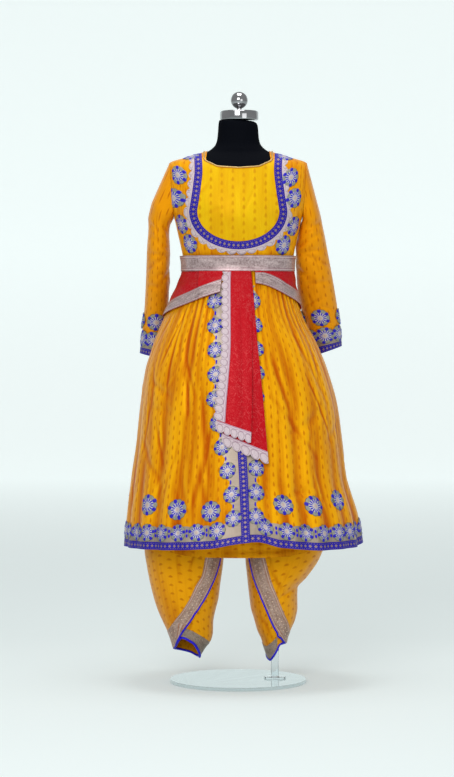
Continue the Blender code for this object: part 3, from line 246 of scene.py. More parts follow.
def piece(name, grid, out, uv, finish, thick=TRIM_WALL, ring=False, reach=5):
    """A thin shell on a grid of outer points, for the solid of that name; uv is in metres."""
    rows, cols = grid.shape[:2]
    index = np.arange(rows * cols).reshape(rows, cols)
    corners = [index[:-1, :-1], index[:-1, 1:], index[1:, 1:], index[1:, :-1]]
    r, c = rows // 2, cols // 2
    across, up = grid[r, c] - grid[r, c - 1], grid[r, c] - grid[r - 1, c]
    if np.cross(across, up) @ out[r, c] < 0:
        corners = corners[::-1]
    quads = np.stack(corners, axis=-1).reshape(-1, 4)
    mesh = bpy.data.meshes.new(name)
    mesh.from_pydata(grid.reshape(-1, 3), [], quads)
    unwrapped(mesh, np.broadcast_to(uv, (rows, cols, 2)).reshape(-1, 2))
    # How far each point lies below its neighbours along the row; the finishes paint shade into the
    # folds by this value.
    level = ((blurred(grid, reach, ring) - grid) * out).sum(-1) / CREASE_SHADE_DEPTH
    mark = mesh.attributes.new("crease_shade", "FLOAT", "POINT")
    mark.data.foreach_set("value", np.clip(level, -1, 1).astype(np.float32).reshape(-1))
    item = linked(name, mesh)
    if ring:
        work = bmesh.new()
        work.from_mesh(mesh)
        bmesh.ops.remove_doubles(work, verts=work.verts, dist=1e-6)
        work.to_mesh(mesh)
        work.free()
    picked(item)
    bpy.ops.object.modifier_add(type="SOLIDIFY")
    item.modifiers[-1].thickness = thick
    item.modifiers[-1].offset = -1
    bpy.ops.object.modifier_apply(modifier=item.modifiers[-1].name)
    bpy.ops.object.shade_smooth_by_angle(angle=math.radians(60))
    return finish_piece(item, finish, [name])


def laid(name, surface, u, v, lift, uv, finish, thick=FINE_WALL, reach=5):
    """A piece on part of a surface, at a grid of its u and v."""
    u, v = np.broadcast_arrays(np.asarray(u, float), np.asarray(v, float))
    grid, out = surface.at(u, v, lift), surface.out(u, v)
    return piece(name, grid, out, uv, finish, thick, surface.ring, reach)


def metres(u, v):
    """A UV grid from two arrays of metres."""
    return np.stack(np.broadcast_arrays(np.asarray(u, float), np.asarray(v, float)), axis=-1)

# %% Building a piping
def tube(name, line, radius, finish, closed=False, sides=8):
    """A piping: a round cord sewn along a line of points."""
    line = np.asarray(line, float)
    along = np.gradient(line, axis=0)
    if closed:
        along = np.roll(line, -1, 0) - np.roll(line, 1, 0)
    along /= np.linalg.norm(along, axis=1, keepdims=True)
    side = np.cross(along, (0.13, 0.21, 0.97))
    side /= np.linalg.norm(side, axis=1, keepdims=True)
    lift = np.cross(along, side)
    turn = 2 * np.pi * np.arange(sides) / sides
    ring = side[:, None] * np.cos(turn)[:, None] + lift[:, None] * np.sin(turn)[:, None]
    points = (line[:, None] + radius * ring).reshape(-1, 3)
    mesh = bpy.data.meshes.new(name)
    mesh.from_pydata(points, [], ring_faces(0, len(line), sides, closed))
    turned_out(mesh)
    length = np.concatenate([[0], np.cumsum(np.linalg.norm(np.diff(line, axis=0), axis=1))])
    unwrapped(mesh, metres(np.repeat(length, sides), np.tile(turn * radius, len(line))))
    mesh.shade_smooth()
    return finish_piece(linked(name, mesh), finish, [name])

# %% [markdown]
# ## Node materials
# A finish is a small network of nodes. The helper below keeps each one to a few lines:
# calc is a Math node, mix a Mix node, noise a Noise Texture, and so on. Patterns read the
# UVs, so they follow the cloth as weaving and embroidery do. An image of the cloth would be
# quicker, but it blurs when seen close, and a node pattern stays sharp at every distance.
# %% Material helper
class Paint:
    """A material with short calls for the nodes that its pattern uses."""

    def __init__(self, name, slot=None, **sockets):
        self.slot = slot
        self.material = bpy.data.materials.new(name)
        self.material.use_nodes = True
        self.nodes, self.links = self.material.node_tree.nodes, self.material.node_tree.links
        self.shader = self.nodes["Principled BSDF"]
        for socket, value in sockets.items():
            name = socket.replace("_", " ").title().replace("Ior", "IOR")
            self.shader.inputs[name].default_value = value
        self.uv = self.nodes.new("ShaderNodeUVMap").outputs[0]
        apart = self.nodes.new("ShaderNodeSeparateXYZ")
        self.links.new(self.uv, apart.inputs[0])
        self.u, self.v = apart.outputs[0], apart.outputs[1]

    def put(self, socket, value):
        if isinstance(value, bpy.types.NodeSocket):
            self.links.new(value, socket)
        else:
            socket.default_value = value

    def calc(self, operation, *values, clamp=False):
        node = self.nodes.new("ShaderNodeMath")
        node.operation, node.use_clamp = operation, clamp
        for socket, value in zip(node.inputs, values):
            self.put(socket, value)
        return node.outputs[0]

    def mix(self, share, first, second):
        node = self.nodes.new("ShaderNodeMix")
        node.data_type = "RGBA"
        self.put(node.inputs[0], share)
        for socket, value in ((node.inputs[6], first), (node.inputs[7], second)):
            self.put(socket, value if isinstance(value, bpy.types.NodeSocket) else (*value, 1))
        return node.outputs[2]

    def place(self, across, up):
        node = self.nodes.new("ShaderNodeCombineXYZ")
        self.put(node.inputs[0], across)
        self.put(node.inputs[1], up)
        return node.outputs[0]

    def scaled(self, across, up):
        return self.place(
            self.calc("MULTIPLY", self.u, across), self.calc("MULTIPLY", self.v, up)
        )

    def noise(self, vector, scale=1.0, detail=3.0, distortion=0.0):
        node = self.nodes.new("ShaderNodeTexNoise")
        self.put(node.inputs["Vector"], vector)
        node.inputs["Scale"].default_value = scale
        node.inputs["Detail"].default_value = detail
        node.inputs["Distortion"].default_value = distortion
        return node.outputs[0]

    def within(self, value, limit, soft):
        """1 where value is under limit, 0 past it, over a soft edge."""
        gap = self.calc("SUBTRACT", limit, value)
        return self.calc("DIVIDE", gap, soft, clamp=True)

    def cell(self, value, pitch):
        """Where value lies in its repeat, from -0.5 to 0.5."""
        return self.calc("SUBTRACT", self.calc("FRACT", self.calc("DIVIDE", value, pitch)), 0.5)

    def off(self, value, middle):
        """How far value lies from middle."""
        return self.calc("ABSOLUTE", self.calc("SUBTRACT", value, middle))

    def oval(self, across, wide, up, tall):
        """Distance from the middle of an oval, 1 at its edge."""
        a = self.calc("POWER", self.calc("ABSOLUTE", self.calc("DIVIDE", across, wide)), 2.0)
        b = self.calc("POWER", self.calc("ABSOLUTE", self.calc("DIVIDE", up, tall)), 2.0)
        return self.calc("SQRT", self.calc("ADD", a, b))

    # The crease_shade value, which the finishes use to paint shade into folds.
    def crease_shade(self):
        node = self.nodes.new("ShaderNodeAttribute")
        node.attribute_name = "crease_shade"
        return node.outputs["Fac"]

    def colour(self, value):
        self.put(self.shader.inputs["Base Color"], value)

    def rough(self, value):
        self.put(self.shader.inputs["Roughness"], value)

    def bump(self, height, distance, strength=1.0):
        node = self.nodes.new("ShaderNodeBump")
        node.inputs["Distance"].default_value = distance
        node.inputs["Strength"].default_value = strength
        self.put(node.inputs["Height"], height)
        normal = self.shader.inputs["Normal"]
        if normal.is_linked:
            self.links.new(normal.links[0].from_socket, node.inputs["Normal"])
        self.links.new(node.outputs[0], normal)

# %% [markdown]
# ## Silk
# The silk is a shot weave, golden, with a deeper orange painted into its folds and hollows
# as painted shade, and small woven spots in upright rows, each row set half a step from the
# next. The spot is an oval in a repeating cell of the UVs. Long thin noise gives the fine
# pressed wrinkles in the bump, and moves the colour along them as painted light and shade.
# %% Silk finishes
def silk(name, slot, light, deep, spot, pitch, size):
    """Figured silk; pitch and size of its woven spots, across and up, are in metres."""
    paint = Paint(name, slot, roughness=0.36, specular_tint=(1.0, 0.55, 0.03, 1.0),
                  sheen_weight=0.10, sheen_tint=(1.0, 0.50, 0.03, 1.0))
    number = paint.calc("FLOOR", paint.calc("DIVIDE", paint.u, pitch[0]))
    shift = paint.calc("MULTIPLY", paint.calc("PINGPONG", number, 1.0), pitch[1] / 2)
    across = paint.calc("MULTIPLY", paint.cell(paint.u, pitch[0]), pitch[0])
    shifted = paint.calc("ADD", paint.v, shift)
    up = paint.calc("MULTIPLY", paint.cell(shifted, pitch[1]), pitch[1])
    wide = paint.calc("MULTIPLY_ADD", up, -0.40 * size[0] / size[1], 0.90 * size[0])
    spots = paint.within(paint.oval(across, wide, up, size[1]), 1.1, 0.60)
    worn = paint.noise(paint.scaled(38, 30), detail=1.0)
    spots = paint.calc("MULTIPLY", spots, paint.calc("MULTIPLY_ADD", worn, 0.8, 0.45, clamp=True))
    broad = paint.noise(paint.scaled(14, 3.2), detail=3.0, distortion=0.6)
    fine = paint.noise(paint.scaled(150, 9), detail=2.0, distortion=0.3)
    # Painted shade: the colour turns from light to deep orange where the sheet lies in a fold or
    # hollow.
    level = paint.calc("MULTIPLY_ADD", paint.crease_shade(), 1.3, 0.20)
    patches = paint.calc("MULTIPLY", paint.calc("SUBTRACT", broad, 0.42), 2.2)
    tone = paint.calc("ADD", level, patches)
    # The wrinkle noise also moves the colour: painted light and shade along the fine wrinkles.
    tone = paint.calc("MULTIPLY_ADD", paint.calc("SUBTRACT", fine, 0.5), 0.85, tone)
    tone = paint.calc("MINIMUM", paint.calc("MAXIMUM", tone, 0.0), 1.0)
    ground = paint.mix(tone, light, deep)
    paint.colour(paint.mix(paint.calc("MULTIPLY", spots, 0.92), ground, spot))
    paint.rough(paint.calc("MULTIPLY_ADD", spots, 0.12, 0.36))
    paint.bump(fine, 0.0012, 0.70)
    paint.bump(paint.noise(paint.scaled(900, 260), detail=1.0), 0.00012, 0.35)
    paint.bump(spots, 0.0002, 0.4)
    return paint


silk_skirt = silk("figured_silk", "golden_silk", (0.81, 0.365, 0.003), (0.46, 0.075, 0.001),
                  (0.50, 0.125, 0.002), (0.0215, 0.0255), (0.0038, 0.0076))
silk_sleeve = silk("sleeve_silk", "golden_silk", (0.76, 0.28, 0.003), (0.40, 0.065, 0.001),
                   (0.48, 0.12, 0.002), (0.0225, 0.0265), (0.0037, 0.0074))
silk_trousers = silk("trouser_silk", "golden_silk", (0.74, 0.31, 0.004), (0.46, 0.11, 0.001),
                     (0.46, 0.12, 0.002), (0.0225, 0.0245), (0.0068, 0.0042))
silk_yoke = silk("lemon_silk_weave", "lemon_silk", (0.73, 0.44, 0.005), (0.62, 0.28, 0.003),
                 (0.54, 0.23, 0.003), (0.0290, 0.0215), (0.0048, 0.0076))
print("nodes in the skirt's silk:", len(silk_skirt.nodes))

# %% [markdown]
# ## Ribbons, tissue and lace
# The ribbon is woven in royal blue with a row of silver-pink lozenges and small teeth
# along both edges. The tissue is metal thread, so it is partly metallic and streaked along
# its length. The lace is pale, thick thread on a net. Here v runs across a trim from 0 at
# its inner edge to 1 at its outer edge, and u runs along it in metres.
# %% Ribbon
BLUE, DARK_BLUE = (0.014, 0.007, 0.42), (0.008, 0.004, 0.18)
LOZENGE_PITCH = 0.0122


def ribbon_finish():
    paint = Paint("zigzag_ribbon", "blue_ribbon", roughness=0.5, specular_ior_level=0.25)
    away = paint.calc("ABSOLUTE", paint.calc("MULTIPLY_ADD", paint.v, 2.0, -1.0))

    def lozenge(pitch, long, height, tall, soft):
        beat = paint.calc("ABSOLUTE", paint.cell(paint.u, pitch))
        beat, height = paint.calc("DIVIDE", beat, long), paint.calc("DIVIDE", height, tall)
        return paint.within(paint.calc("ADD", beat, height), 1.0, soft)

    lozenges = lozenge(LOZENGE_PITCH, 0.37, away, 0.46, 0.15)
    teeth = lozenge(LOZENGE_PITCH / 2, 0.30, paint.off(away, 0.64), 0.13, 0.3)
    shine = paint.noise(paint.scaled(700, 30), detail=1.0)
    silver = paint.mix(shine, (0.15, 0.09, 0.11), (0.42, 0.30, 0.31))
    light = paint.calc("MAXIMUM", lozenges, paint.calc("MULTIPLY", teeth, 0.85))
    ground = paint.mix(paint.noise(paint.scaled(260, 14), detail=1.0), DARK_BLUE, BLUE)
    paint.colour(paint.mix(light, ground, silver))
    paint.put(paint.shader.inputs["Metallic"], paint.calc("MULTIPLY", light, 0.55))
    paint.bump(light, 0.0005, 0.7)
    paint.bump(paint.noise(paint.scaled(1500, 40), detail=0.0), 0.0001, 0.5)
    return paint


ribbon_weave = ribbon_finish()

# %% Metal tissue and brocades
def metal_weave(name, slot, dark, light, line, fleck, metallic, streak, grains):
    """Metal cloth streaked along its length, with lines along both edges if asked."""
    paint = Paint(name, slot, roughness=0.42, metallic=metallic, specular_ior_level=0.3)
    streaks = paint.noise(paint.scaled(*streak), detail=3.0, distortion=0.4)
    grain = paint.noise(paint.scaled(*grains), detail=2.0)
    tone = paint.calc("MULTIPLY_ADD", grain, fleck, paint.calc("MULTIPLY", streaks, 1.1))
    tone = paint.calc("SUBTRACT", tone, 0.30 + fleck / 2 - 0.2, clamp=True)
    colour = paint.mix(tone, dark, light)
    if line:
        away = paint.calc("ABSOLUTE", paint.calc("MULTIPLY_ADD", paint.v, 2.0, -1.0))
        for where, wide, tint in ((0.66, 0.03, line), (0.80, 0.045, light), (0.91, 0.03, line)):
            colour = paint.mix(paint.within(paint.off(away, where), wide, wide / 2), colour, tint)
    paint.colour(colour)
    paint.rough(paint.calc("MULTIPLY_ADD", grain, 0.25, 0.28))
    paint.bump(grain, 0.0004, 0.6)
    paint.bump(streaks, 0.0006, 0.3)
    return paint


tissue_weave = metal_weave("metal_tissue", "silver_tissue", (0.20, 0.15, 0.11), (0.56, 0.47, 0.39),
                           None, 0.5, 0.5, (5, 9), (620, 24))
belt_weave = metal_weave("belt_brocade", "silver_lace", (0.20, 0.135, 0.135), (0.70, 0.56, 0.55),
                         (0.26, 0.08, 0.14), 1.3, 0.40, (26, 3), (210, 8))
border_weave = metal_weave("trouser_brocade", "mauve_border", (0.20, 0.11, 0.075),
                           (0.58, 0.42, 0.35), (0.36, 0.12, 0.05), 1.3, 0.35, (30, 3), (240, 8))
ankle_weave = metal_weave("ankle_brocade", "mauve_border", (0.13, 0.085, 0.055),
                          (0.46, 0.36, 0.30), None, 1.3, 0.35, (30, 3), (260, 9))

# %% [markdown]
# Lace has a clear rhythm of thick petals on a fine net. The petals are ovals repeated along
# the trim, and the net is a Voronoi pattern under them. The scalloped outer edge itself is
# cut in the mesh later, so that it also shows from the side.
# %% Lace
LACE_PITCH = 0.0215


def lace_finish(name, pale, shade, stripe=None):
    """Thick pale lace: raised petals of thread, with a coloured line near its inner edge."""
    paint = Paint(name, "silver_lace", roughness=0.6, metallic=0.10, specular_ior_level=0.3)
    grain = paint.noise(paint.scaled(900, 26), detail=2.0)
    cell = paint.nodes.new("ShaderNodeTexVoronoi")
    cell.inputs["Scale"].default_value = 1.0
    paint.put(cell.inputs["Vector"], paint.scaled(330, 7))
    net = paint.within(cell.outputs["Distance"], 0.32, 0.25)
    across, up = paint.cell(paint.u, LACE_PITCH), paint.calc("SUBTRACT", paint.v, 0.62)
    lump = paint.oval(across, 0.42, up, 0.36)
    rim = paint.within(paint.off(lump, 1.0), 0.16, 0.10)
    # The shade colour is the dark end of the thread's grain, and painted shade in the net's holes
    # and in a ring round each petal.
    colour = paint.mix(paint.calc("MULTIPLY", grain, 0.8), pale, shade)
    colour = paint.mix(paint.calc("MULTIPLY", net, 0.65), colour, shade)
    colour = paint.mix(paint.calc("MULTIPLY", rim, 0.75), colour, shade)
    paint.bump(paint.within(lump, 1.0, 0.4), 0.0012, 0.6)
    if stripe:
        for where, half_wide in ((0.05, 0.045), (0.22, 0.03)):
            line = paint.within(paint.off(paint.v, where), half_wide, 0.02)
            colour = paint.mix(line, colour, stripe)
    paint.colour(colour)
    paint.bump(net, 0.0006, -0.6)
    paint.bump(grain, 0.0004, 0.5)
    return paint


lace_work = lace_finish("scalloped_lace", (0.74, 0.64, 0.66), (0.30, 0.21, 0.24))
tail_lace_work = lace_finish("sash_lace", (0.76, 0.65, 0.68), (0.30, 0.20, 0.24),
                             (0.36, 0.17, 0.27))

# %% [markdown]
# The sash is a crimson brocade: curling stems and leaves woven with a little gold thread.
# A noise whose bands are bent by distortion gives curls that never repeat. The pipings are
# satin cord, so they only need a fine slanting twist.
# %% Crimson brocade and pipings
def crimson_finish():
    paint = Paint("crimson_brocade", "crimson_silk", roughness=0.45,
                  specular_tint=(1.0, 0.12, 0.14, 1.0))
    swirl = paint.noise(paint.scaled(44, 44), detail=1.0, distortion=3.0)
    vine = paint.within(paint.off(swirl, 0.52), 0.045, 0.03)
    leaf = paint.within(0.64, paint.noise(paint.scaled(84, 84), detail=1.0, distortion=2.0), 0.05)
    figure = paint.calc("MAXIMUM", vine, paint.calc("MULTIPLY", leaf, 0.8))
    patchy = paint.noise(paint.scaled(24, 24), detail=1.0)
    patchy = paint.calc("MULTIPLY_ADD", patchy, 1.2, -0.05, clamp=True)
    figure = paint.calc("MULTIPLY", figure, patchy)
    # Painted shade: the red goes darker where the sheet lies in a fold or hollow.
    tone = paint.calc("MULTIPLY_ADD", paint.crease_shade(), 0.6, 0.35, clamp=True)
    ground = paint.mix(tone, (0.52, 0.003, 0.010), (0.22, 0.002, 0.005))
    paint.colour(paint.mix(paint.calc("MULTIPLY", figure, 0.55), ground, (0.60, 0.10, 0.10)))
    paint.put(paint.shader.inputs["Metallic"], paint.calc("MULTIPLY", figure, 0.35))
    paint.bump(figure, 0.0003, 0.6)
    paint.bump(paint.noise(paint.scaled(900, 900), detail=1.0), 0.00015, 0.4)
    return paint


def piping_finish(name, slot, colour, dark, metallic):
    """Satin cord: a fine twist along its length."""
    paint = Paint(name, slot, roughness=0.45, metallic=metallic, specular_ior_level=0.25)
    along, round_it = paint.calc("MULTIPLY", paint.u, 420.0), paint.calc("MULTIPLY", paint.v, 260.0)
    twist = paint.off(paint.calc("FRACT", paint.calc("ADD", along, round_it)), 0.5)
    paint.colour(paint.mix(twist, colour, dark))
    paint.bump(twist, 0.0003, 0.5)
    return paint


crimson_weave = crimson_finish()
blue_cord = piping_finish("blue_cord", "blue_piping", (0.014, 0.004, 0.62),
                          (0.008, 0.003, 0.34), 0.0)
gold_cord = piping_finish("gold_cord", "gold_piping", (0.62, 0.42, 0.16), (0.36, 0.24, 0.10), 0.6)
sequin = piping_finish("sequin", "mauve_border", (0.90, 0.74, 0.58), (0.70, 0.42, 0.16), 0.7)

# %% [markdown]
# ## Appliqué flowers
# Each flower is cut from silver tissue as twelve petals and worked with blue: six oval
# drops near its rim and a ring of fourteen short strokes on white round a pale rose eye.
# The relief is modelled in the mesh, and the colours use the same distances, measured from
# the flower's middle by its UVs.
# %% Flower finish
PETALS, STROKES, DROPS = 12, 14, 6


def flower_finish():
    paint = Paint("flower_work", "silver_tissue", roughness=0.45, specular_ior_level=0.3)
    radius = paint.oval(paint.u, 1.0, paint.v, 1.0)
    turn = paint.calc("DIVIDE", paint.calc("ARCTAN2", paint.v, paint.u), 2 * math.pi)
    inner, outer = (paint.calc("SUBTRACT", radius, middle) for middle in (0.46, 0.81))
    stroke = paint.oval(paint.cell(turn, 1 / STROKES), 0.33, inner, 0.22)
    drop = paint.oval(paint.cell(turn, 1 / DROPS), 0.24, outer, 0.20)
    blue = paint.calc("MAXIMUM", paint.within(stroke, 1.0, 0.2), paint.within(drop, 1.0, 0.12))
    thread = paint.noise(paint.scaled(22, 22), detail=2.0)
    silver = paint.mix(thread, (0.10, 0.105, 0.08), (0.44, 0.44, 0.38))
    # Painted shade: a dark line round the rim and between the petals.
    gap = paint.within(0.46, paint.calc("ABSOLUTE", paint.cell(turn, 1 / PETALS)), 0.05)
    rim = paint.calc("MAXIMUM", paint.within(0.93, radius, 0.05), gap)
    silver = paint.mix(paint.calc("MULTIPLY", rim, 0.85), silver, (0.12, 0.10, 0.06))
    white = paint.mix(thread, (0.34, 0.32, 0.31), (0.70, 0.67, 0.66))
    silver = paint.mix(paint.within(radius, 0.64, 0.04), silver, white)
    knots = paint.noise(paint.scaled(40, 40), detail=1.0)
    eye = paint.mix(knots, (0.30, 0.20, 0.17), (0.74, 0.60, 0.56))
    colour = paint.mix(paint.within(radius, 0.21, 0.05), silver, eye)
    paint.colour(paint.mix(blue, colour, BLUE))
    paint.put(paint.shader.inputs["Metallic"], paint.calc("MULTIPLY_ADD", blue, -0.20, 0.2))
    paint.bump(thread, 0.0003, 0.5)
    return paint


flower_work = flower_finish()

# %% Flower relief
def flower_height(radius, turn):
    """How high a flower stands at a share of its radius and a share of a turn."""
    def cell(count):
        return (turn * count) % 1 - 0.5

    petals = 0.0012 * np.sqrt(np.clip(1 - (radius / 1.02) ** 4, 0, 1))
    petals = petals * (1 - 0.35 * ease(radius, 0.55, 0.75) * ease(abs(cell(PETALS)), 0.36, 0.5))
    stroke = 1 - (cell(STROKES) / 0.30) ** 2 - ((radius - 0.45) / 0.17) ** 2
    drop = 1 - (cell(DROPS) / 0.22) ** 2 - ((radius - 0.81) / 0.19) ** 2
    eye = 1 - (radius / 0.21) ** 2
    lift = 0.0006 * np.clip(stroke, 0, 1) + 0.0010 * np.sqrt(np.clip(drop, 0, 1))
    return petals + lift + 0.0007 * np.sqrt(np.clip(eye, 0, 1))


def per_metre(surface, u, v):
    """How much u and v change over a metre of the surface."""
    u, v = np.array([[u]]), np.array([[v]])
    place = surface.point(u, v)
    across = surface.point(u + surface.step[0], v) - place
    up = surface.point(u, v + surface.step[1]) - place
    return surface.step[0] / np.linalg.norm(across), surface.step[1] / np.linalg.norm(up)


def flowers(name, surface, centres, radius, lift):
    """Flowers laid on a surface round (u, v) centres, as one piece."""
    rings, spokes = 9, 72
    share = np.linspace(0.02, 1, rings)[:, None]
    turn = np.arange(spokes)[None, :] / spokes
    flat = metres(share * np.cos(2 * np.pi * turn), share * np.sin(2 * np.pi * turn))
    points, uvs, faces = [], [], []
    for number, (u, v) in enumerate(centres):
        scale_u, scale_v = per_metre(surface, u, v)
        spin = 0.11 * (number * 5 % 7)
        angle = 2 * np.pi * (turn + spin)
        rim = 0.93 + 0.07 * np.abs(np.cos(math.pi * turn * PETALS)) ** 0.6
        x, y = share * rim * radius * np.cos(angle), share * rim * radius * np.sin(angle)
        us, vs = u + x * scale_u, v + y * scale_v
        if not surface.ring:
            us = np.clip(us, *surface.u_range)
        vs = np.clip(vs, *surface.v_range)
        faces.extend(ring_faces(len(points), rings + 1, spokes))
        points.extend(surface.at(us, vs, lift + flower_height(share, turn)).reshape(-1, 3))
        points.extend(surface.at(us[-1], vs[-1], lift))
        uvs.extend([*flat.reshape(-1, 2), *flat[-1]])
    mesh = bpy.data.meshes.new(name)
    mesh.from_pydata(points, [], faces)
    turned_out(mesh)
    unwrapped(mesh, np.array(uvs))
    mesh.shade_smooth()
    return finish_piece(linked(name, mesh), flower_work, ())

# %% [markdown]
# ## Bodice
# The bodice is a front and a back panel, drawn over a general figure: a half width and two
# depths at each height. In front its neck is scooped. Every row of the grid follows the
# neckline more and more towards the top, as the threads of a cut panel do.
# %% Torso and neck tables
TORSO = (
    ("height", "half_width", "front", "back"),
    (1.435, 0.083, 0.050, 0.060),
    (1.420, 0.1305, 0.066, 0.076),
    (1.403, 0.184, 0.082, 0.090),
    (1.385, 0.1955, 0.093, 0.098),
    (1.350, 0.2000, 0.106, 0.106),
    (1.310, 0.1985, 0.119, 0.111),
    (1.280, 0.1890, 0.126, 0.111),
    (1.254, 0.1725, 0.128, 0.108),
    (1.210, 0.1620, 0.122, 0.100),
    (1.160, 0.1510, 0.109, 0.091),
    (1.125, 0.1460, 0.100, 0.088),
    (1.100, 0.1465, 0.103, 0.091),
)
torso_half, torso_front, torso_back = (curve(TORSO, name) for name in TORSO[0][1:])
NECK_X, NECK_Z, SHOULDER_X, SHOULDER_Z = 0.083, 1.435, 0.184, 1.403
ARMPIT_X, ARMPIT_Z, WAIST = 0.1725, 1.254, 1.125
FRONT_NECK = (
    ("share", "height"), (0.0, 1.387), (0.29, 1.391), (0.39, 1.399), (0.62, 1.418),
    (0.8, 1.428), (1.0, 1.435),
)
BACK_NECK = (("share", "height"), (0.0, 1.413), (0.45, 1.416), (0.75, 1.425), (1.0, 1.435))
front_neck, back_neck = curve(FRONT_NECK, "height"), curve(BACK_NECK, "height")
bodice_pulls = creases(scattered(3, 26, -0.17, 0.17, 1.13, 1.36, 0.9, 0.07, 0.006, 0.0011) + [
    (-0.168, 1.262, -0.120, 1.215, 0.008, 0.0022),
    (0.168, 1.262, 0.118, 1.205, 0.008, 0.0024),
    (-0.150, 1.150, -0.095, 1.140, 0.006, 0.0016),
    (0.150, 1.165, 0.090, 1.142, 0.006, 0.0018),
])


def armhole_x(z):
    return ARMPIT_X + (SHOULDER_X - ARMPIT_X) * (z - ARMPIT_Z) / (SHOULDER_Z - ARMPIT_Z)


def bodice_edge(z):
    return np.where((z >= ARMPIT_Z) & (z <= SHOULDER_Z), armhole_x(z), torso_half(z))


def bodice_surface(side, neck):
    """The bodice's front (side -1) or back, by angle across and share of its height."""
    deep = torso_front if side < 0 else torso_back

    def point(phi, t):
        share = np.sin(phi)
        z = WAIST + t * (neck(np.abs(share)) - WAIST)
        x = share * bodice_edge(z)
        root = np.sqrt(np.clip(1 - (x / torso_half(z)) ** 2, 0, 1))
        away = ease(np.abs(share), 1.0, 0.93) * ease(t, 0.0, 0.04) * ease(t, 1.0, 0.96)
        pull = bodice_pulls(x, z) * away
        return np.stack([x, side * (deep(z) * root - pull + 0.0002), z], axis=-1)

    return Surface(point, (-math.pi / 2, math.pi / 2), (0, 1))


bodice_in_front = bodice_surface(-1, front_neck)
bodice_behind = bodice_surface(1, back_neck)

# %% Bodice panels and neck piping
CHEST_ROUND, NECK_PIPING, NECK_INSET, NECK_LIFT = 0.155, 0.0017, 0.12, 0.0016
for name, surface, columns in (
    ("bodice_front", bodice_in_front, 180), ("bodice_back", bodice_behind, 140)
):
    u, v = np.meshgrid(np.linspace(*surface.u_range, columns), np.linspace(0, 1, 130))
    place = surface.point(u, v)
    laid(name, surface, u, v, 0.0, metres(u * CHEST_ROUND, place[..., 2]), silk_skirt)
    low, high = surface.u_range
    us = np.linspace(low + NECK_INSET, high - NECK_INSET, 90)
    line = surface.at(us, np.full(90, 0.992), NECK_LIFT)
    tube(f"neck_piping_{name.split('_')[1]}", line, NECK_PIPING, gold_cord)
print("bodice area:", round(area_of(made["bodice_front"]) / 2, 3), "square metres")

# %% [markdown]
# ## Yoke
# A U-shaped ribbon frames a lemon panel, and scalloped lace runs outside it. All three are
# drawn as seen from the front, in x and z, and then laid on the bodice.
# %% Yoke lines
YOKE_SIDE = (
    ("height", "x"), (1.430, 0.108), (1.380, 0.1055), (1.335, 0.110), (1.270, 0.1195),
)
yoke_x = curve(YOKE_SIDE, "x")
YOKE_RIBBON, YOKE_BOTTOM, YOKE_CORNER = 0.020, 1.1785, 1.270
YOKE_TOP, YOKE_BEND, SEAM_GAP = 1.430, 1.6, 0.0012
LACE_START, LACE_SWELL, LACE_BEATS = 0.017, 0.0085, 128


def on_bodice(x, z):
    """The u and v of a place on the bodice's front that is seen at x and z."""
    share = np.clip(x / bodice_edge(z), -1, 1)
    return np.arcsin(share), (z - WAIST) / (front_neck(np.abs(share)) - WAIST)


def yoke_route(offset, count=300):
    """A line beside the ribbon's middle, from one shoulder to the other, as x and z."""
    t = np.linspace(0, 1, count)
    x = yoke_x(YOKE_TOP - (YOKE_TOP - YOKE_CORNER) * t**YOKE_BEND) + offset
    rise = (NECK_Z - SHOULDER_Z) / (SHOULDER_X - NECK_X)
    seam = SHOULDER_Z + (SHOULDER_X - x) * rise - SEAM_GAP
    z = seam - (seam - YOKE_CORNER) * t**YOKE_BEND
    wide, deep = yoke_x(YOKE_CORNER) + offset, YOKE_CORNER - YOKE_BOTTOM + offset
    turn = np.linspace(0, math.pi, 2 * count)[1:-1]
    x = np.concatenate([x, wide * np.cos(turn), -x[::-1]])
    z = np.concatenate([z, YOKE_CORNER - deep * np.sin(turn), z[::-1]])
    along = np.concatenate([[0], np.cumsum(np.hypot(np.diff(x), np.diff(z)))])
    even = np.linspace(0, along[-1], 4 * count)
    return np.interp(even, along, x)[::-1], np.interp(even, along, z)[::-1], even

# %% Ribbon, lace and lemon panel
def yoke_strip(name, inner, outer, lift, rows, finish, thick):
    """A strip between two offsets from the ribbon's middle line, square to that line."""
    x0, z0, along = yoke_route(0.0)
    dx, dz = np.gradient(x0), np.gradient(z0)
    long = np.hypot(dx, dz)
    lines = []
    for share in np.linspace(1, 0, rows):
        away = inner + share * (outer(along) - inner)
        lines.append((x0 + away * dz / long, z0 - away * dx / long))
    x, z = np.array(lines).transpose(1, 0, 2)
    u, v = on_bodice(x, z)
    flat = metres(along[None, :], np.linspace(1, 0, rows)[:, None])
    return laid(name, bodice_in_front, u, np.clip(v, 0, 1), lift, flat, finish, thick)


def lace_edge(along):
    """The lace's scalloped outer edge, from the ribbon's middle line."""
    return LACE_START + LACE_SWELL * np.abs(np.sin(along * LACE_BEATS)) ** 0.7


half, YOKE_NECK_GAP = YOKE_RIBBON / 2, 0.0055
yoke_strip("yoke_ribbon", -half, lambda along: 0 * along + half, 0.0014, 7, ribbon_weave,
           CLOTH_WALL)
yoke_strip("yoke_lace", half + 0.0008, lace_edge, 0.0012, 6, lace_work, TRIM_WALL)
share, t = np.meshgrid(np.linspace(-1, 1, 110), np.linspace(0, 1, 90))
inner = half + 0.0010
wide, deep = yoke_x(YOKE_CORNER) - inner, YOKE_CORNER - YOKE_BOTTOM - inner
low = YOKE_CORNER - deep * np.sqrt(np.clip(1 - share**2, 0, 1))
high = front_neck(np.abs(share) * (0.107 - inner) / SHOULDER_X) - YOKE_NECK_GAP
z = low + (high - low) * t
drop = np.clip((YOKE_CORNER - z) / deep, 0, 1)
limit = np.where(z > YOKE_CORNER, yoke_x(z) - inner, wide * np.sqrt(1 - drop**2))
x = np.clip(share * wide, -limit, limit)
x = x + (share * limit - x) * t
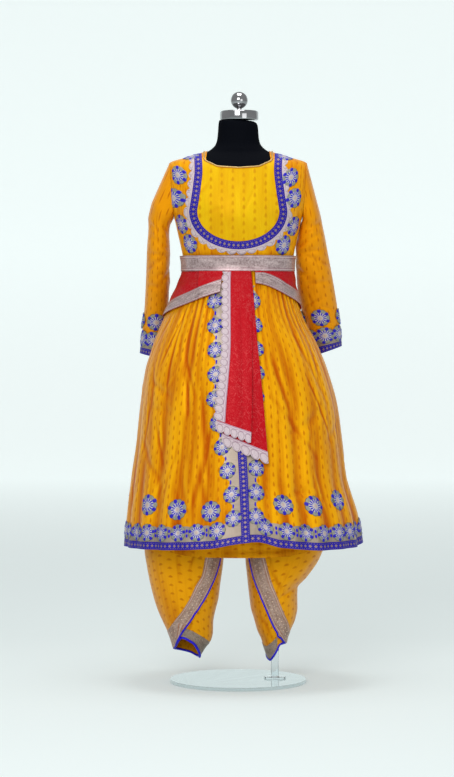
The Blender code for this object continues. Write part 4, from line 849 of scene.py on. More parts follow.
u, v = on_bodice(x, z)
laid("yoke_panel", bodice_in_front, u, v, 0.0008, metres(x, z), silk_yoke, 0.0006)
print("yoke ribbon length:", round(float(yoke_route(0)[2][-1]), 3), "m")

# %% [markdown]
# ## Sleeves
# A sleeve is a tube along the bent arm. Rings between its inner and outer edges, as seen
# from the front, give its length and turn, and the last ring is the armhole itself. Small
# creases gather inside the elbow and at the top of the arm.
# %% Sleeve surfaces
SLEEVE_COLUMNS = ("row", "inner_x", "inner_z", "outer_x", "outer_z", "centre_y", "half_depth")
RIGHT_SLEEVE = (
    SLEEVE_COLUMNS,
    (0, 0.1725, 1.254, 0.1840, 1.403, 0.000, 0.047),
    (1, 0.1785, 1.248, 0.2090, 1.372, 0.003, 0.053),
    (2, 0.1820, 1.242, 0.2298, 1.322, 0.008, 0.057),
    (3, 0.1845, 1.236, 0.2465, 1.273, 0.014, 0.058),
    (4, 0.1855, 1.225, 0.2435, 1.257, 0.018, 0.050),
    (5, 0.1860, 1.205, 0.2425, 1.230, 0.024, 0.055),
    (6, 0.1845, 1.172, 0.2465, 1.176, 0.035, 0.055),
    (7, 0.1860, 1.086, 0.2506, 1.090, 0.065, 0.050),
    (8, 0.1900, 1.004, 0.2560, 1.010, 0.100, 0.045),
    (9, 0.1950, 0.941, 0.2627, 0.949, 0.130, 0.043),
    (10, 0.2050, 0.872, 0.2695, 0.888, 0.160, 0.041),
)
LEFT_SLEEVE = (
    SLEEVE_COLUMNS,
    (0, 0.1725, 1.254, 0.1840, 1.403, 0.000, 0.047),
    (1, 0.1765, 1.249, 0.2010, 1.355, 0.004, 0.053),
    (2, 0.1745, 1.248, 0.2130, 1.297, 0.010, 0.057),
    (3, 0.1700, 1.243, 0.2228, 1.262, 0.018, 0.057),
    (4, 0.1645, 1.225, 0.2280, 1.237, 0.024, 0.051),
    (5, 0.1610, 1.202, 0.2340, 1.210, 0.028, 0.055),
    (6, 0.1570, 1.167, 0.2417, 1.171, 0.040, 0.054),
    (7, 0.1600, 1.086, 0.2580, 1.090, 0.068, 0.050),
    (8, 0.1720, 1.014, 0.2710, 1.020, 0.100, 0.046),
    (9, 0.1900, 0.949, 0.2810, 0.957, 0.130, 0.043),
    (10, 0.2070, 0.880, 0.2857, 0.908, 0.160, 0.041),
)
CUFF_RIBBON, CUFF_BAND, SLEEVE_TOP = 0.020, 0.050, 0.435


def sleeve_surface(side, table, seed):
    """A sleeve by angle round it and distance up from its cuff."""
    fields = {name: curve(table, name) for name in SLEEVE_COLUMNS[1:]}
    fine = np.linspace(len(table) - 2, 0, 300)
    read = {name: field(fine) for name, field in fields.items()}
    middle = np.stack([(read["inner_x"] + read["outer_x"]) / 2, read["centre_y"],
                       (read["inner_z"] + read["outer_z"]) / 2], axis=1)
    length = np.concatenate([[0], np.cumsum(np.linalg.norm(np.diff(middle, axis=0), axis=1))])
    table = scattered(seed, 22, 0, 0.33, 0.09, 0.40, 1.1, 0.07, 0.008, 0.0030)
    table += [
        (0.02, 0.262, 0.11, 0.288, 0.009, 0.0062),
        (0.03, 0.305, 0.13, 0.296, 0.008, 0.0050),
        (0.10, 0.228, 0.16, 0.262, 0.009, 0.0040),
        (0.04, 0.350, 0.14, 0.318, 0.009, 0.0036),
        (0.02, 0.378, 0.10, 0.362, 0.008, 0.0032),
        (0.02, 0.215, 0.12, 0.205, 0.008, 0.0030),
        (0.17, 0.270, 0.25, 0.250, 0.008, 0.0034),
    ]
    folds = creases(table)

    def point(angle, distance):
        at = np.interp(np.minimum(distance, 0.40), length, fine)
        value = {name: field(at) for name, field in fields.items()}
        lean = np.cos(angle) / 2
        x = (value["inner_x"] + value["outer_x"]) / 2 + lean * (value["outer_x"] - value["inner_x"])
        z = (value["inner_z"] + value["outer_z"]) / 2 + lean * (value["outer_z"] - value["inner_z"])
        y = value["centre_y"] - np.sin(angle) * value["half_depth"]
        top_z = ARMPIT_Z + (SHOULDER_Z - ARMPIT_Z) * (1 + np.cos(angle)) / 2
        top_x = armhole_x(top_z)
        root = np.sqrt(np.clip(1 - (top_x / torso_half(top_z)) ** 2, 0, 1))
        top_y = np.where(np.sin(angle) > 0, -torso_front(top_z), torso_back(top_z)) * root
        share = ease(distance, 0.385, SLEEVE_TOP)
        x, y, z = x + share * (top_x + 0.0008 - x), y + share * (top_y - y), z + share * (top_z - z)
        turn = (angle % (2 * np.pi)) * 0.052
        drawn = folds(turn, distance) * ease(distance, 0.055, 0.085) * ease(distance, 0.42, 0.38)
        drawn = drawn * ease(np.abs(turn - 0.163), 0.163, 0.150)
        x = x - drawn * np.cos(angle)
        y = y + drawn * np.sin(angle)
        return np.stack([side * x, y, z], axis=-1)

    return Surface(point, (0, 2 * math.pi), (0, SLEEVE_TOP), ring=True)

# %% Sleeves, cuffs and cuff flowers
ROUND, CUFF_FLOWER, UPPER_CUFF_ROW, CUFF_SWELL = 0.315, 0.0262, 0.105, 0.006
RIBBON_LIFT, CUFF_BAND_LIFT, CUFF_FLOWER_LIFT = 0.0016, 0.0014, 0.0019
angles = np.linspace(0, 2 * math.pi, 121)
for which, side, table, seed in (("right", -1, RIGHT_SLEEVE, 5), ("left", 1, LEFT_SLEEVE, 9)):
    surface = sleeve_surface(side, table, seed)
    u, v = np.meshgrid(angles, np.linspace(0, SLEEVE_TOP, 200))
    laid(f"sleeve_{which}", surface, u, v, 0.0, metres(u / (2 * math.pi) * ROUND, v), silk_sleeve)
    u, v = np.meshgrid(angles, np.linspace(0.0003, CUFF_RIBBON, 6))
    flat = metres(u / (2 * math.pi) * ROUND, v / CUFF_RIBBON)
    laid(f"cuff_ribbon_{which}", surface, u, v, RIBBON_LIFT, flat, ribbon_weave, CLOTH_WALL)
    u, t = np.meshgrid(angles, np.linspace(0, 1, 10))
    top = CUFF_BAND + CUFF_SWELL * np.abs(np.sin(u * 3))
    v = CUFF_RIBBON + 0.0005 + t * (top - CUFF_RIBBON)
    flat = metres(u / (2 * math.pi) * ROUND, v)
    laid(f"cuff_band_{which}", surface, u, v, CUFF_BAND_LIFT, flat, tissue_weave, TRIM_WALL)
    row = [(math.pi * (i + 0.5) / 3, CUFF_BAND) for i in range(6)]
    row += [(math.pi * (i + 0.05) / 2, UPPER_CUFF_ROW) for i in range(4)]
    flowers(f"cuff_flowers_{which}", surface, row, CUFF_FLOWER, CUFF_FLOWER_LIFT)
print("sleeve area:", round(area_of(made["sleeve_left"]) / 2, 3), "square metres")

# %% Bodice flowers
BODICE_SPOTS = (
    (-0.161, 1.367), (-0.172, 1.306), (-0.152, 1.236), (-0.130, 1.184),
    (0.140, 1.360), (0.150, 1.305), (0.148, 1.231), (0.121, 1.180),
)
SHOULDER_SPOTS = ((-1.10, 0.955), (1.02, 0.955))
BODICE_FLOWER, SHOULDER_FLOWER, FLOWER_GAP = 0.0270, 0.0240, 0.0006
spots = []
for x, z in BODICE_SPOTS:
    u, v = on_bodice(np.array([x]), np.array([z]))
    spots.append((float(u[0]), float(v[0])))
flowers("bodice_flowers", bodice_in_front, spots, BODICE_FLOWER, FLOWER_GAP)
flowers("shoulder_flowers", bodice_in_front, SHOULDER_SPOTS, SHOULDER_FLOWER, FLOWER_GAP)

# %% [markdown]
# ## Skirt
# The skirt hangs from the waist seam in three panels. Its gathers stand out below the
# waist and melt into wider folds towards the hem, which is where the cloth is free to
# swing. Its right front laps over the left one, down a band of tissue and ribbon.
# %% Skirt tables
SKIRT = (
    ("height", "right_side", "left_side", "front", "back"),
    (1.125, 0.1460, 0.1460, 0.100, 0.088),
    (1.110, 0.1470, 0.1465, 0.103, 0.091),
    (1.060, 0.1660, 0.1530, 0.126, 0.116),
    (1.000, 0.1930, 0.1690, 0.152, 0.142),
    (0.910, 0.2300, 0.2150, 0.180, 0.163),
    (0.845, 0.2500, 0.2410, 0.197, 0.178),
    (0.750, 0.2640, 0.2680, 0.212, 0.196),
    (0.650, 0.2750, 0.2820, 0.225, 0.214),
    (0.560, 0.2880, 0.2930, 0.238, 0.230),
    (0.450, 0.3010, 0.3250, 0.254, 0.249),
    (0.360, 0.3080, 0.3400, 0.268, 0.264),
)
skirt_right, skirt_left, skirt_ahead, skirt_behind = (curve(SKIRT, n) for n in SKIRT[0][1:])
FOLDS = (
    ("angle", "half_width", "depth", "reach"),
    (-79, 4.5, 0.013, 0.55), (-63, 4.0, 0.009, 0.42), (-47, 4.5, 0.016, 0.62),
    (-33, 3.5, 0.008, 0.36), (-17, 4.0, 0.011, 0.50), (14, 3.5, 0.008, 0.40),
    (23, 3.5, 0.009, 0.52), (33, 4.5, 0.020, 0.64), (47, 4.5, 0.013, 0.50),
    (61, 4.0, 0.008, 0.38), (76, 4.5, 0.014, 0.58), (99, 4.5, 0.012, 0.50),
    (113, 4.0, 0.016, 0.62), (128, 4.5, 0.010, 0.42), (143, 4.0, 0.018, 0.60),
    (158, 4.5, 0.011, 0.46), (172, 4.0, 0.015, 0.56), (188, 4.5, 0.012, 0.50),
    (203, 4.0, 0.017, 0.62), (218, 4.5, 0.010, 0.44), (232, 4.0, 0.015, 0.58),
    (247, 4.5, 0.012, 0.48), (260, 4.0, 0.009, 0.40),
)
GATHERS = (
    ("height", "depth"), (0.0, 0.0), (0.15, 0.0001), (0.25, 0.0002), (0.40, 0.0004),
    (0.52, 0.0007), (0.62, 0.0013), (0.70, 0.0015), (0.745, 0.0003),
)
gather_depth = curve(GATHERS, "depth")
HEM = (
    ("angle", "height"), (-180, 0.368), (-90, 0.370), (-45, 0.375), (-15, 0.384), (0, 0.398),
    (8, 0.402), (20, 0.386), (45, 0.374), (70, 0.374), (90, 0.382), (135, 0.372), (180, 0.368),
)
hem_height = curve(HEM, "height")
DROP, TOP_SEAM, OVERLAP_LIFT, LEFT_EDGE_X = 0.745, 0.0003, 0.0066, -0.015
skirt_creases = creases(
    scattered(11, 60, -0.47, 0.47, 0.12, 0.62, 0.35, 0.16, 0.008, 0.0024)
    + scattered(12, 60, 0.47, 1.42, 0.12, 0.62, 0.35, 0.16, 0.008, 0.0024)
    + [
        (-0.345, 0.44, -0.230, 0.40, 0.010, 0.0042),
        (-0.330, 0.37, -0.215, 0.36, 0.010, 0.0034),
        (0.150, 0.30, 0.290, 0.36, 0.014, 0.0046),
        (0.120, 0.50, 0.165, 0.34, 0.012, 0.0050),
        (0.300, 0.28, 0.400, 0.33, 0.012, 0.0036),
        (0.060, 0.10, 0.230, 0.17, 0.010, 0.0030),
        (-0.250, 0.22, -0.120, 0.24, 0.012, 0.0026),
        (-0.120, 0.48, -0.090, 0.20, 0.013, 0.0036),
        (-0.200, 0.60, -0.160, 0.36, 0.012, 0.0040),
        (0.240, 0.58, 0.330, 0.38, 0.013, 0.0042),
        (0.100, 0.40, 0.250, 0.24, 0.011, 0.0032),
        (0.080, 0.17, 0.330, 0.115, 0.009, 0.0034),
        (-0.380, 0.30, -0.240, 0.17, 0.012, 0.0032),
    ]
)
CLOTH_ROUND, FOLD_SHARE = 0.30, 0.62

# %% Skirt surface
def skirt_form(angle, z, lift):
    """A point of the skirt's smooth form, moved out level by lift."""
    sine, cosine = np.sin(angle), np.cos(angle)
    half = np.where(sine > 0, skirt_left(z), skirt_right(z))
    deep = np.where(cosine > 0, skirt_ahead(z), skirt_behind(z))
    way = np.stack([sine / half, -cosine / deep, 0 * sine], axis=-1)
    way /= np.linalg.norm(way, axis=-1, keepdims=True)
    return np.stack([half * sine, -deep * cosine, z], axis=-1) + way * lift[..., None]


def wrapped(angle):
    return (np.degrees(angle) + 180) % 360 - 180


def skirt_z(angle, height):
    hem = hem_height(wrapped(angle))
    return hem + height * (WAIST - TOP_SEAM - hem) / DROP


def overlap(x, z):
    """How far the right front stands out where it laps over the left front."""
    return OVERLAP_LIFT * ease(x, -0.125, -0.085) * (1 - 0.56 * ease(z, 1.085, 1.105))


def gathers(angle, height):
    """Uneven gathers, and how far they stand out."""
    turn = np.degrees(angle)
    wave = 0.72 * np.cos(2 * np.pi * turn / 5.8 + 1.6 * np.sin(3.1 * angle + 0.4))
    wave = wave + 0.38 * np.cos(2 * np.pi * turn / 9.7 + 2.2 * np.sin(2.3 * angle))
    wave = wave * (0.8 + 0.6 * np.sin(7 * angle + 1.3 * np.sin(3 * angle)))
    return gather_depth(height) * wave


def skirt_surface(lapped):
    """The skirt by angle from the front and height above its hem."""

    def point(angle, height):
        z = skirt_z(angle, height)
        turn = wrapped(angle)
        swing = ease(np.abs(turn), 8, 13)
        drawn = np.zeros(angle.shape)
        for at, wide, deep, reach in FOLDS[1:]:
            away = (turn - at + 180) % 360 - 180
            fold = FOLD_SHARE * deep * np.exp(-((away / wide) ** 2))
            drawn = drawn + fold * (1 - ease(height, 0.1, reach))
        across = (angle - 2 * np.pi * (angle < -math.pi / 2)) * CLOTH_ROUND
        drawn = drawn + skirt_creases(across, height) * ease(height, 0.07, 0.14)
        lift = (gathers(angle, height) - drawn) * swing
        if lapped:
            lift = lift + overlap(skirt_form(angle, z, 0 * z)[..., 0], z)
        return skirt_form(angle, z, lift)

    low, high = (-math.pi / 2, math.pi / 2) if lapped else (-math.pi / 2, 3 * math.pi / 2)
    return Surface(point, (low, high), (0, DROP))


skirt_over, skirt_under = skirt_surface(True), skirt_surface(False)


def angle_at(x, z):
    return np.arcsin(np.clip(x / np.where(x > 0, skirt_left(z), skirt_right(z)), -1, 1))


def right_edge_x(z):
    return np.interp(z, (0.40, 0.56, 1.10), (0.030, 0.024, -0.005))


def front_angle(which, height, away):
    """The angle of a place that far in from a front's edge, at a height above the hem."""
    angle = np.zeros(np.broadcast(height, away).shape)
    for _ in range(3):
        z = skirt_z(angle, height)
        x = right_edge_x(z) - away if which == "right" else LEFT_EDGE_X + away
        angle = angle_at(x, z)
    return angle

# %% Skirt panels
heights = np.concatenate([np.linspace(0, 0.03, 6), np.linspace(0.035, DROP, 150)])
share, quarter = np.linspace(0, 1, 250)[None, :], math.pi / 2
right_edge, left_edge = (front_angle(n, heights, 0.0)[:, None] for n in ("right", "left"))
panels = (
    ("skirt_front_right", skirt_over, -quarter + share * (right_edge + quarter)),
    ("skirt_front_left", skirt_under, left_edge + share * (quarter - left_edge)),
    ("skirt_back", skirt_under, quarter + np.linspace(0, 1, 420)[None, :] * 2 * quarter),
)
for name, surface, u in panels:
    u, v = np.broadcast_arrays(u, heights[:, None])
    laid(name, surface, u, v, 0.0, metres(u * CLOTH_ROUND, v), silk_skirt, CLOTH_WALL, 6)
print("skirt area:", [round(area_of(made[n]) / 2, 3) for n in ("skirt_front_right", "skirt_back")])

# %% [markdown]
# ## Bands and ribbons of the skirt
# A ribbon closes the hem and the front edges. Next to it lies the band of tissue, and on
# the band's inner edge sit the flowers, joined by short blue dashes. The band's edge
# swells round each flower, so its outline is a row of half rounds.
# %% Stitched dashes
def dashes(name, surface, centres, size, lift, finish=blue_cord, spokes=12):
    """Short stitched ovals, or sequins, on a surface."""
    rings = ((1.0, 0.0), (0.95, 0.0007), (0.5, 0.0013))
    points, faces = [], []
    turn = 2 * np.pi * np.arange(spokes) / spokes
    for u, v in centres:
        scale_u, scale_v = per_metre(surface, u, v)
        faces.extend(ring_faces(len(points), len(rings), spokes))
        for share, high in rings:
            us = u + share * size[0] * np.cos(turn) * scale_u
            vs = v + share * size[1] * np.sin(turn) * scale_v
            points.extend(surface.at(us, vs, lift + high))
    mesh = bpy.data.meshes.new(name)
    mesh.from_pydata(points, [], faces)
    turned_out(mesh)
    mesh.uv_layers.new(name="cloth")
    mesh.shade_smooth()
    return finish_piece(linked(name, mesh), finish, ())

# %% Hem trims
HEM_RIBBON, BAND_FOOT, BAND_SWELL, HEM_PITCH = 0.020, 0.047, 0.014, 0.0530
FLOWER_ROW, UPPER_ROW, UPPER_PITCH = 0.044, 0.120, 0.090
FRONT_RIBBON, FRONT_PITCH, FRONT_FIRST, FRONT_TOP = 0.022, 0.0645, 0.069, 0.690
HEM_FLOWER, UPPER_FLOWER, FRONT_FLOWER = 0.0236, 0.0282, 0.0222
HEM_DASH, FRONT_DASH, SEAM = (0.0030, 0.0048), (0.0022, 0.0060), 0.0005
HEM_BAND_LIFT, HEM_FLOWER_LIFT, HEM_DASH_LIFT, UPPER_LIFT = 0.0013, 0.0018, 0.0016, 0.0004
FRONT_FLOWER_LIFT, FRONT_DASH_LIFT, FRONT_SWELL = 0.0025, 0.0022, 0.015
UPPER_FRONT = {
    "right": ((-0.240, 0.491), (-0.162, 0.483), (-0.072, 0.481)),
    "left": ((0.119, 0.497), (0.203, 0.491), (0.266, 0.502)),
}


def hem_trims(which, surface, start, end):
    """Ribbon, band, dashes and flowers along the hem between two lines of angle by height."""
    flat = np.array(FLOWER_ROW)
    first, last = float(start(flat)), float(end(flat))
    long = abs(last - first) * CLOTH_ROUND
    count = max(2, round(long / HEM_PITCH))
    share = np.linspace(0, 1, 60 * count + 1)[None, :]

    def strip(name, low, high, lift, finish, rows, thick, inset):
        t = np.linspace(0, 1, rows)[:, None]
        v = low + t * (high - low) + 0 * share
        left, right = start(v, inset), end(v, inset)
        u = left + share * (right - left)
        uv = metres(share * long + 0 * t, t if finish is ribbon_weave else v)
        laid(name, surface, u, v, lift, uv, finish, thick, 6)

    strip(f"hem_ribbon_{which}", 0.0002, HEM_RIBBON, RIBBON_LIFT, ribbon_weave, 6, CLOTH_WALL,
          0.0003)
    swell = BAND_FOOT + BAND_SWELL * np.abs(np.sin(math.pi * share * count)) ** 0.7
    strip(f"hem_band_{which}", HEM_RIBBON + SEAM, swell, HEM_BAND_LIFT, tissue_weave, 8,
          FINE_WALL, FRONT_RIBBON + SEAM)
    places = (np.arange(count) + 0.5) / count
    centres = [(first + place * (last - first), FLOWER_ROW) for place in places]
    flowers(f"hem_flowers_{which}", surface, centres, HEM_FLOWER, HEM_FLOWER_LIFT)
    between = [(first + place * (last - first), FLOWER_ROW + up)
               for place in np.arange(1, count) / count for up in (0.0050, -0.0075)]
    dashes(f"hem_dashes_{which}", surface, between, HEM_DASH, HEM_DASH_LIFT)
    if which in UPPER_FRONT:
        upper = []
        for x, z in UPPER_FRONT[which]:
            angle = float(angle_at(np.array(x), np.array(z)))
            foot = float(hem_height(wrapped(angle)))
            upper.append((angle, (z - foot) * DROP / (WAIST - foot)))
    else:
        many = round(long / UPPER_PITCH)
        upper = [(first + (i + 0.5) / many * (last - first), UPPER_ROW + 0.004 * math.sin(3 * i))
                 for i in range(many)]
    flowers(f"upper_flowers_{which}", surface, upper, UPPER_FLOWER, UPPER_LIFT)


def along_front(which):
    """A hem strip's end at a front edge: its angle by height and by inset from the edge."""
    return lambda v, inset=0.056: front_angle(which, v, inset + 0 * v)


def along_side(angle):
    """A hem strip's end at a side seam, which is at the same angle all the way up."""
    return lambda v, inset=0.0: angle + 0 * v


SIDE_GAP = 0.002
hem_trims("right", skirt_over, along_side(SIDE_GAP - quarter), along_front("right"))
hem_trims("left", skirt_under, along_front("left"), along_side(quarter - SIDE_GAP))
hem_trims("back", skirt_under, along_side(quarter + SIDE_GAP), along_side(3 * quarter - SIDE_GAP))

# %% [markdown]
# Each front edge has the same ribbon, band, flowers and dashes as the hem, turned upright.
# They follow a line a little in from the edge, which the table gives for both fronts, so
# one loop makes all of them.
# %% Front trims
FRONT_MIDDLE = (
    ("height", "away_right", "away_left"),
    (0.000, 0.041, 0.060), (0.069, 0.041, 0.060), (0.131, 0.043, 0.061), (0.194, 0.050, 0.061),
    (0.300, 0.066, 0.062), (0.392, 0.074, 0.062), (0.461, 0.067, 0.062), (0.527, 0.064, 0.060),
    (0.655, 0.059, 0.055),
)
for which, surface in (("right", skirt_over), ("left", skirt_under)):
    middle = curve(FRONT_MIDDLE, f"away_{which}")
    rows = np.linspace(0.0, FRONT_TOP, 420)[:, None]
    t = np.linspace(0, 1, 6)[None, :]
    u = front_angle(which, rows, FRONT_RIBBON * (1 - t))
    v = rows + 0 * t
    lift = 0.0022 + 0.0012 * ease(rows, 0.03, 0.02)
    laid(f"front_ribbon_{which}", surface, u, v, lift, metres(v, t + 0 * v), ribbon_weave,
         CLOTH_WALL, 2)
    rows = np.linspace(HEM_RIBBON + 0.0008, FRONT_TOP, 420)[:, None]
    beat = np.abs(np.cos(math.pi * (rows - FRONT_FIRST) / FRONT_PITCH)) ** 0.7
    outer = middle(rows) - 0.004 + FRONT_SWELL * beat * ease(rows, 0.030, 0.050)
    t = np.linspace(1, 0, 9)[None, :]
    away = FRONT_RIBBON + SEAM + t * (outer - FRONT_RIBBON - SEAM)
    u = front_angle(which, rows, away)
    lift = 0.0019 + 0.0008 * ease(rows, 0.07, 0.05)
    laid(f"front_band_{which}", surface, u, rows + 0 * t, lift, metres(rows + 0 * t, away),
         tissue_weave, FINE_WALL, 2)
    heights = FRONT_FIRST + FRONT_PITCH * np.arange(10)
    heights = heights[heights < FRONT_TOP - 0.02]
    centres = [(float(front_angle(which, h, middle(h))), float(h)) for h in heights]
    flowers(f"front_flowers_{which}", surface, centres, FRONT_FLOWER, FRONT_FLOWER_LIFT)
    beats = heights[:-1] + FRONT_PITCH / 2
    between = [(float(front_angle(which, h, middle(h) - 0.002)), float(h)) for h in beats]
    dashes(f"front_dashes_{which}", surface, between, FRONT_DASH, FRONT_DASH_LIFT)

# %% [markdown]
# ## Belt and sash
# The belt is one strip of silver brocade that laps over its own start. Below it the
# crimson sash is wound round the hips with its border along the lower edge, so the sash
# shows as a red wedge on each side. Its two ends hang in front, one over the other.
# %% Belt
BELT_START, BELT_TURN, BELT_LOW, BELT_HIGH = 7.3, 367, 1.111, 1.152
BELT_LIFT, BELT_CLIMB, BELT_FRONT, BELT_RIPPLE = 0.0071, 0.0024, 0.0022, 0.0003
share, t = np.linspace(0, 1, 400)[None, :], np.linspace(0, 1, 9)[:, None]
turns, level = np.radians(BELT_START + BELT_TURN * share), BELT_LOW + (BELT_HIGH - BELT_LOW) * t
sine, cosine = np.sin(turns), np.cos(turns)
half, deep = torso_half(level), np.where(cosine > 0, torso_front(level), torso_back(level))
way = np.stack(np.broadcast_arrays(sine / half, -cosine / deep, 0 * sine), axis=-1)
way = way / np.linalg.norm(way, axis=-1, keepdims=True)
lift = BELT_LIFT + BELT_CLIMB * share**2 + BELT_FRONT * ease(cosine, 0.2, 0.8)
ripple = BELT_RIPPLE * np.sin(turns * 31 + 5 * np.sin(turns * 4)) * np.sin(np.pi * t)
grid = np.stack(np.broadcast_arrays(half * sine, -deep * cosine, level), axis=-1)
grid = grid + way * (lift + ripple)[..., None]
piece("belt_band", grid, way, metres(turns * 0.13, t), belt_weave, CLOTH_WALL)

# %% Sash round the hips
SASH_EDGE = (
    ("angle", "height"), (-180, 0.985), (-120, 0.982), (-90, 0.992), (-60, 1.012), (-14, 1.056),
    (15, 1.078), (60, 1.040), (90, 1.016), (135, 0.990), (180, 0.985),
)
sash_edge = curve(SASH_EDGE, "height")
SASH_TOP, SASH_BORDER, SASH_LIFT, SASH_CREASE, SASH_ROUND = 1.1105, 0.032, 0.0052, 0.0012, 0.17


def sash_point(angle, t):
    """The sash by angle and share of its height, with soft creases along it."""
    low = sash_edge(wrapped(angle))
    z = low + t * (SASH_TOP - low)
    x = skirt_form(angle, z, 0 * z)[..., 0]
    front = np.cos(angle) > 0
    lift = gather_depth((z - 0.372) * DROP / (WAIST - 0.372))
    lift = lift + overlap(x, z) * (front & (x < 0.04))
    lift = lift + 0.0030 * (front & (x > -0.10) & (x < 0.06))
    fold = SASH_CREASE * np.sin(16 * t + 3 * np.sin(2 * angle) + 1)
    fold = fold * np.sin(np.pi * np.clip(t, 0, 1))
    return skirt_form(angle, z, lift + SASH_LIFT + fold)


sash_surface = Surface(sash_point, (-math.pi, 3 * math.pi / 2), (0, 1))
for which, start, end, columns in (
    ("right", -90, -15.5, 110), ("left", 17, 89.3, 100), ("back", 90.1, 269.8, 220)
):
    u, v = np.meshgrid(np.radians(np.linspace(start, end, columns)), np.linspace(0, 1, 46))
    tall = SASH_TOP - sash_edge(wrapped(u))
    laid(f"sash_wrap_{which}", sash_surface, u, v, 0.0, metres(u * SASH_ROUND, v * tall),
         crimson_weave, CLOTH_WALL)
    u, t = np.meshgrid(np.radians(np.linspace(start, end, columns)), np.linspace(0, 1, 9))
    tall = SASH_TOP - sash_edge(wrapped(u))
    slope = (sash_edge(wrapped(u + 0.02)) - sash_edge(wrapped(u - 0.02))) / (0.04 * 0.16)
    v = t * np.minimum(SASH_BORDER * np.sqrt(1 + slope**2), tall - 0.004) / tall
    laid(f"sash_border_{which}", sash_surface, u, v, 0.0013, metres(u * SASH_ROUND, t), belt_weave,
         TRIM_WALL)

# %% [markdown]
# The sash's two ends hang one over the other. Each is a long strip whose sides come from a
# table, laid on the skirt's form and lifted clear of it. The scalloped lace follows the
# same strip, a little past its lower end and, on the front end, past its side.
# %% Hanging ends
TAIL_COLUMNS = ("height", "left_x", "right_x", "lift")
TAIL_LONG, TAIL_WIDE, LACE_LONG, LACE_WALL, TAIL_LACE_LIFT = 0.44, 0.10, 0.105, 0.0011, 0.0012
FRONT_TAIL = (
    TAIL_COLUMNS,
    (1.1105, -0.0340, 0.0310, 0.0110), (1.0850, -0.0350, 0.0310, 0.0150),
    (0.9260, -0.0360, 0.0340, 0.0160), (0.7480, -0.0510, 0.0330, 0.0195),
    (0.6600, -0.0570, 0.0305, 0.0200),
)
BACK_TAIL = (
    TAIL_COLUMNS,
    (1.1105, -0.0300, 0.0325, 0.0082), (1.0850, -0.0300, 0.0345, 0.0116),
    (0.9275, -0.0320, 0.0470, 0.0116), (0.8380, -0.0340, 0.0560, 0.0120),
    (0.7036, -0.0380, 0.0680, 0.0122), (0.6000, -0.0420, 0.0760, 0.0122),
)


def tail_surface(table, left_bottom, right_bottom, phase):
    """A sash end by share of its width and of its height."""
    left, right, lift = (curve(table, name) for name in TAIL_COLUMNS[1:])

    def point(share, rise):
        bottom = left_bottom + share * (right_bottom - left_bottom)
        z = bottom + rise * (SASH_TOP - bottom)
        x = left(z) + share * (right(z) - left(z))
        wave = np.abs(0.0012 * np.sin(7.0 * share + phase + 1.5 * rise)) * (1 - ease(z, 0.95, 1.08))
        return skirt_form(angle_at(x, z), z, lift(z) + wave)

    return Surface(point, (0, 1), (0, 1))


for which, table, ends, phase in (
    ("back", BACK_TAIL, (0.6640, 0.6140), 0.4), ("front", FRONT_TAIL, (0.6993, 0.6680), 1.0)
):
    surface = tail_surface(table, *ends, phase)
    u, v = np.meshgrid(np.linspace(0, 1, 60), np.linspace(0, 1, 160))
    laid(f"sash_tail_{which}", surface, u, v, 0.0, metres(u * TAIL_WIDE, v * TAIL_LONG),
         crimson_weave, CLOTH_WALL)
    share = np.linspace(-0.02, 1.0, 200)[None, :]
    t = np.linspace(1, 0, 8)[:, None]
    drop = 0.001 + 0.009 * np.abs(np.sin(share * math.pi * LACE_LONG / LACE_PITCH)) ** 0.6
    v = 0.046 - t * (0.046 + drop / 0.42)
    bottom = Surface(surface.point, (-0.1, 1.1), (-0.1, 1.0))
    laid(f"tail_lace_{which}", bottom, share + 0 * t, v + 0 * share, TAIL_LACE_LIFT,
         metres(share * LACE_LONG, t + 0 * share), tail_lace_work, LACE_WALL)
rise = np.linspace(0.05, 0.995, 400)[:, None]
t = np.linspace(1, 0, 8)[None, :]
swell = 0.10 * np.abs(np.sin(rise * math.pi * TAIL_LONG / LACE_PITCH)) ** 0.6
u = 0.24 - t * (0.24 + swell)
side = Surface(surface.point, (-0.2, 1.1), (0, 1))
laid("tail_border_front", side, u, rise + 0 * t, 0.0013, metres(rise * TAIL_LONG, t + 0 * rise),
     tail_lace_work, LACE_WALL)

# %% [markdown]
# ## Dhoti trousers
# The trousers hang from a waistband as one wide pleated bag with a low crotch. Each leg is
# a tapering tube, and a flap laps over it in front, edged with a brocade border and a blue
# piping that run down and out to the ankle.
# %% Trouser body
DHOTI_BODY = (
    ("height", "half_width", "front", "back"),
    (0.990, 0.1580, 0.108, 0.112), (0.850, 0.1900, 0.124, 0.126), (0.700, 0.2150, 0.136, 0.134),
    (0.550, 0.2380, 0.146, 0.142), (0.470, 0.2530, 0.148, 0.145), (0.400, 0.2600, 0.150, 0.148),
    (0.340, 0.2630, 0.150, 0.150),
)
body_half, body_ahead, body_behind = (curve(DHOTI_BODY, n) for n in DHOTI_BODY[0][1:])
BAND_BOTTOM, BAND_TOP = 1.045, 1.078
WAIST_HALF, WAIST_FRONT, WAIST_BACK, WAIST_EASE = 0.144, 0.095, 0.090, 0.0021
CROTCH, SIDE_RISE, PLEATS, PLEAT_DEPTH = 0.350, 0.052, 14, 0.0026
TUCK_DEPTH, TUCK_HEIGHT, TUCK_WIDE, TAPER_FROM = 0.0034, 0.020, 0.007, 0.84
body_creases = creases(scattered(21, 40, -0.8, 0.8, 0.02, 0.5, 0.5, 0.12, 0.010, 0.0022))


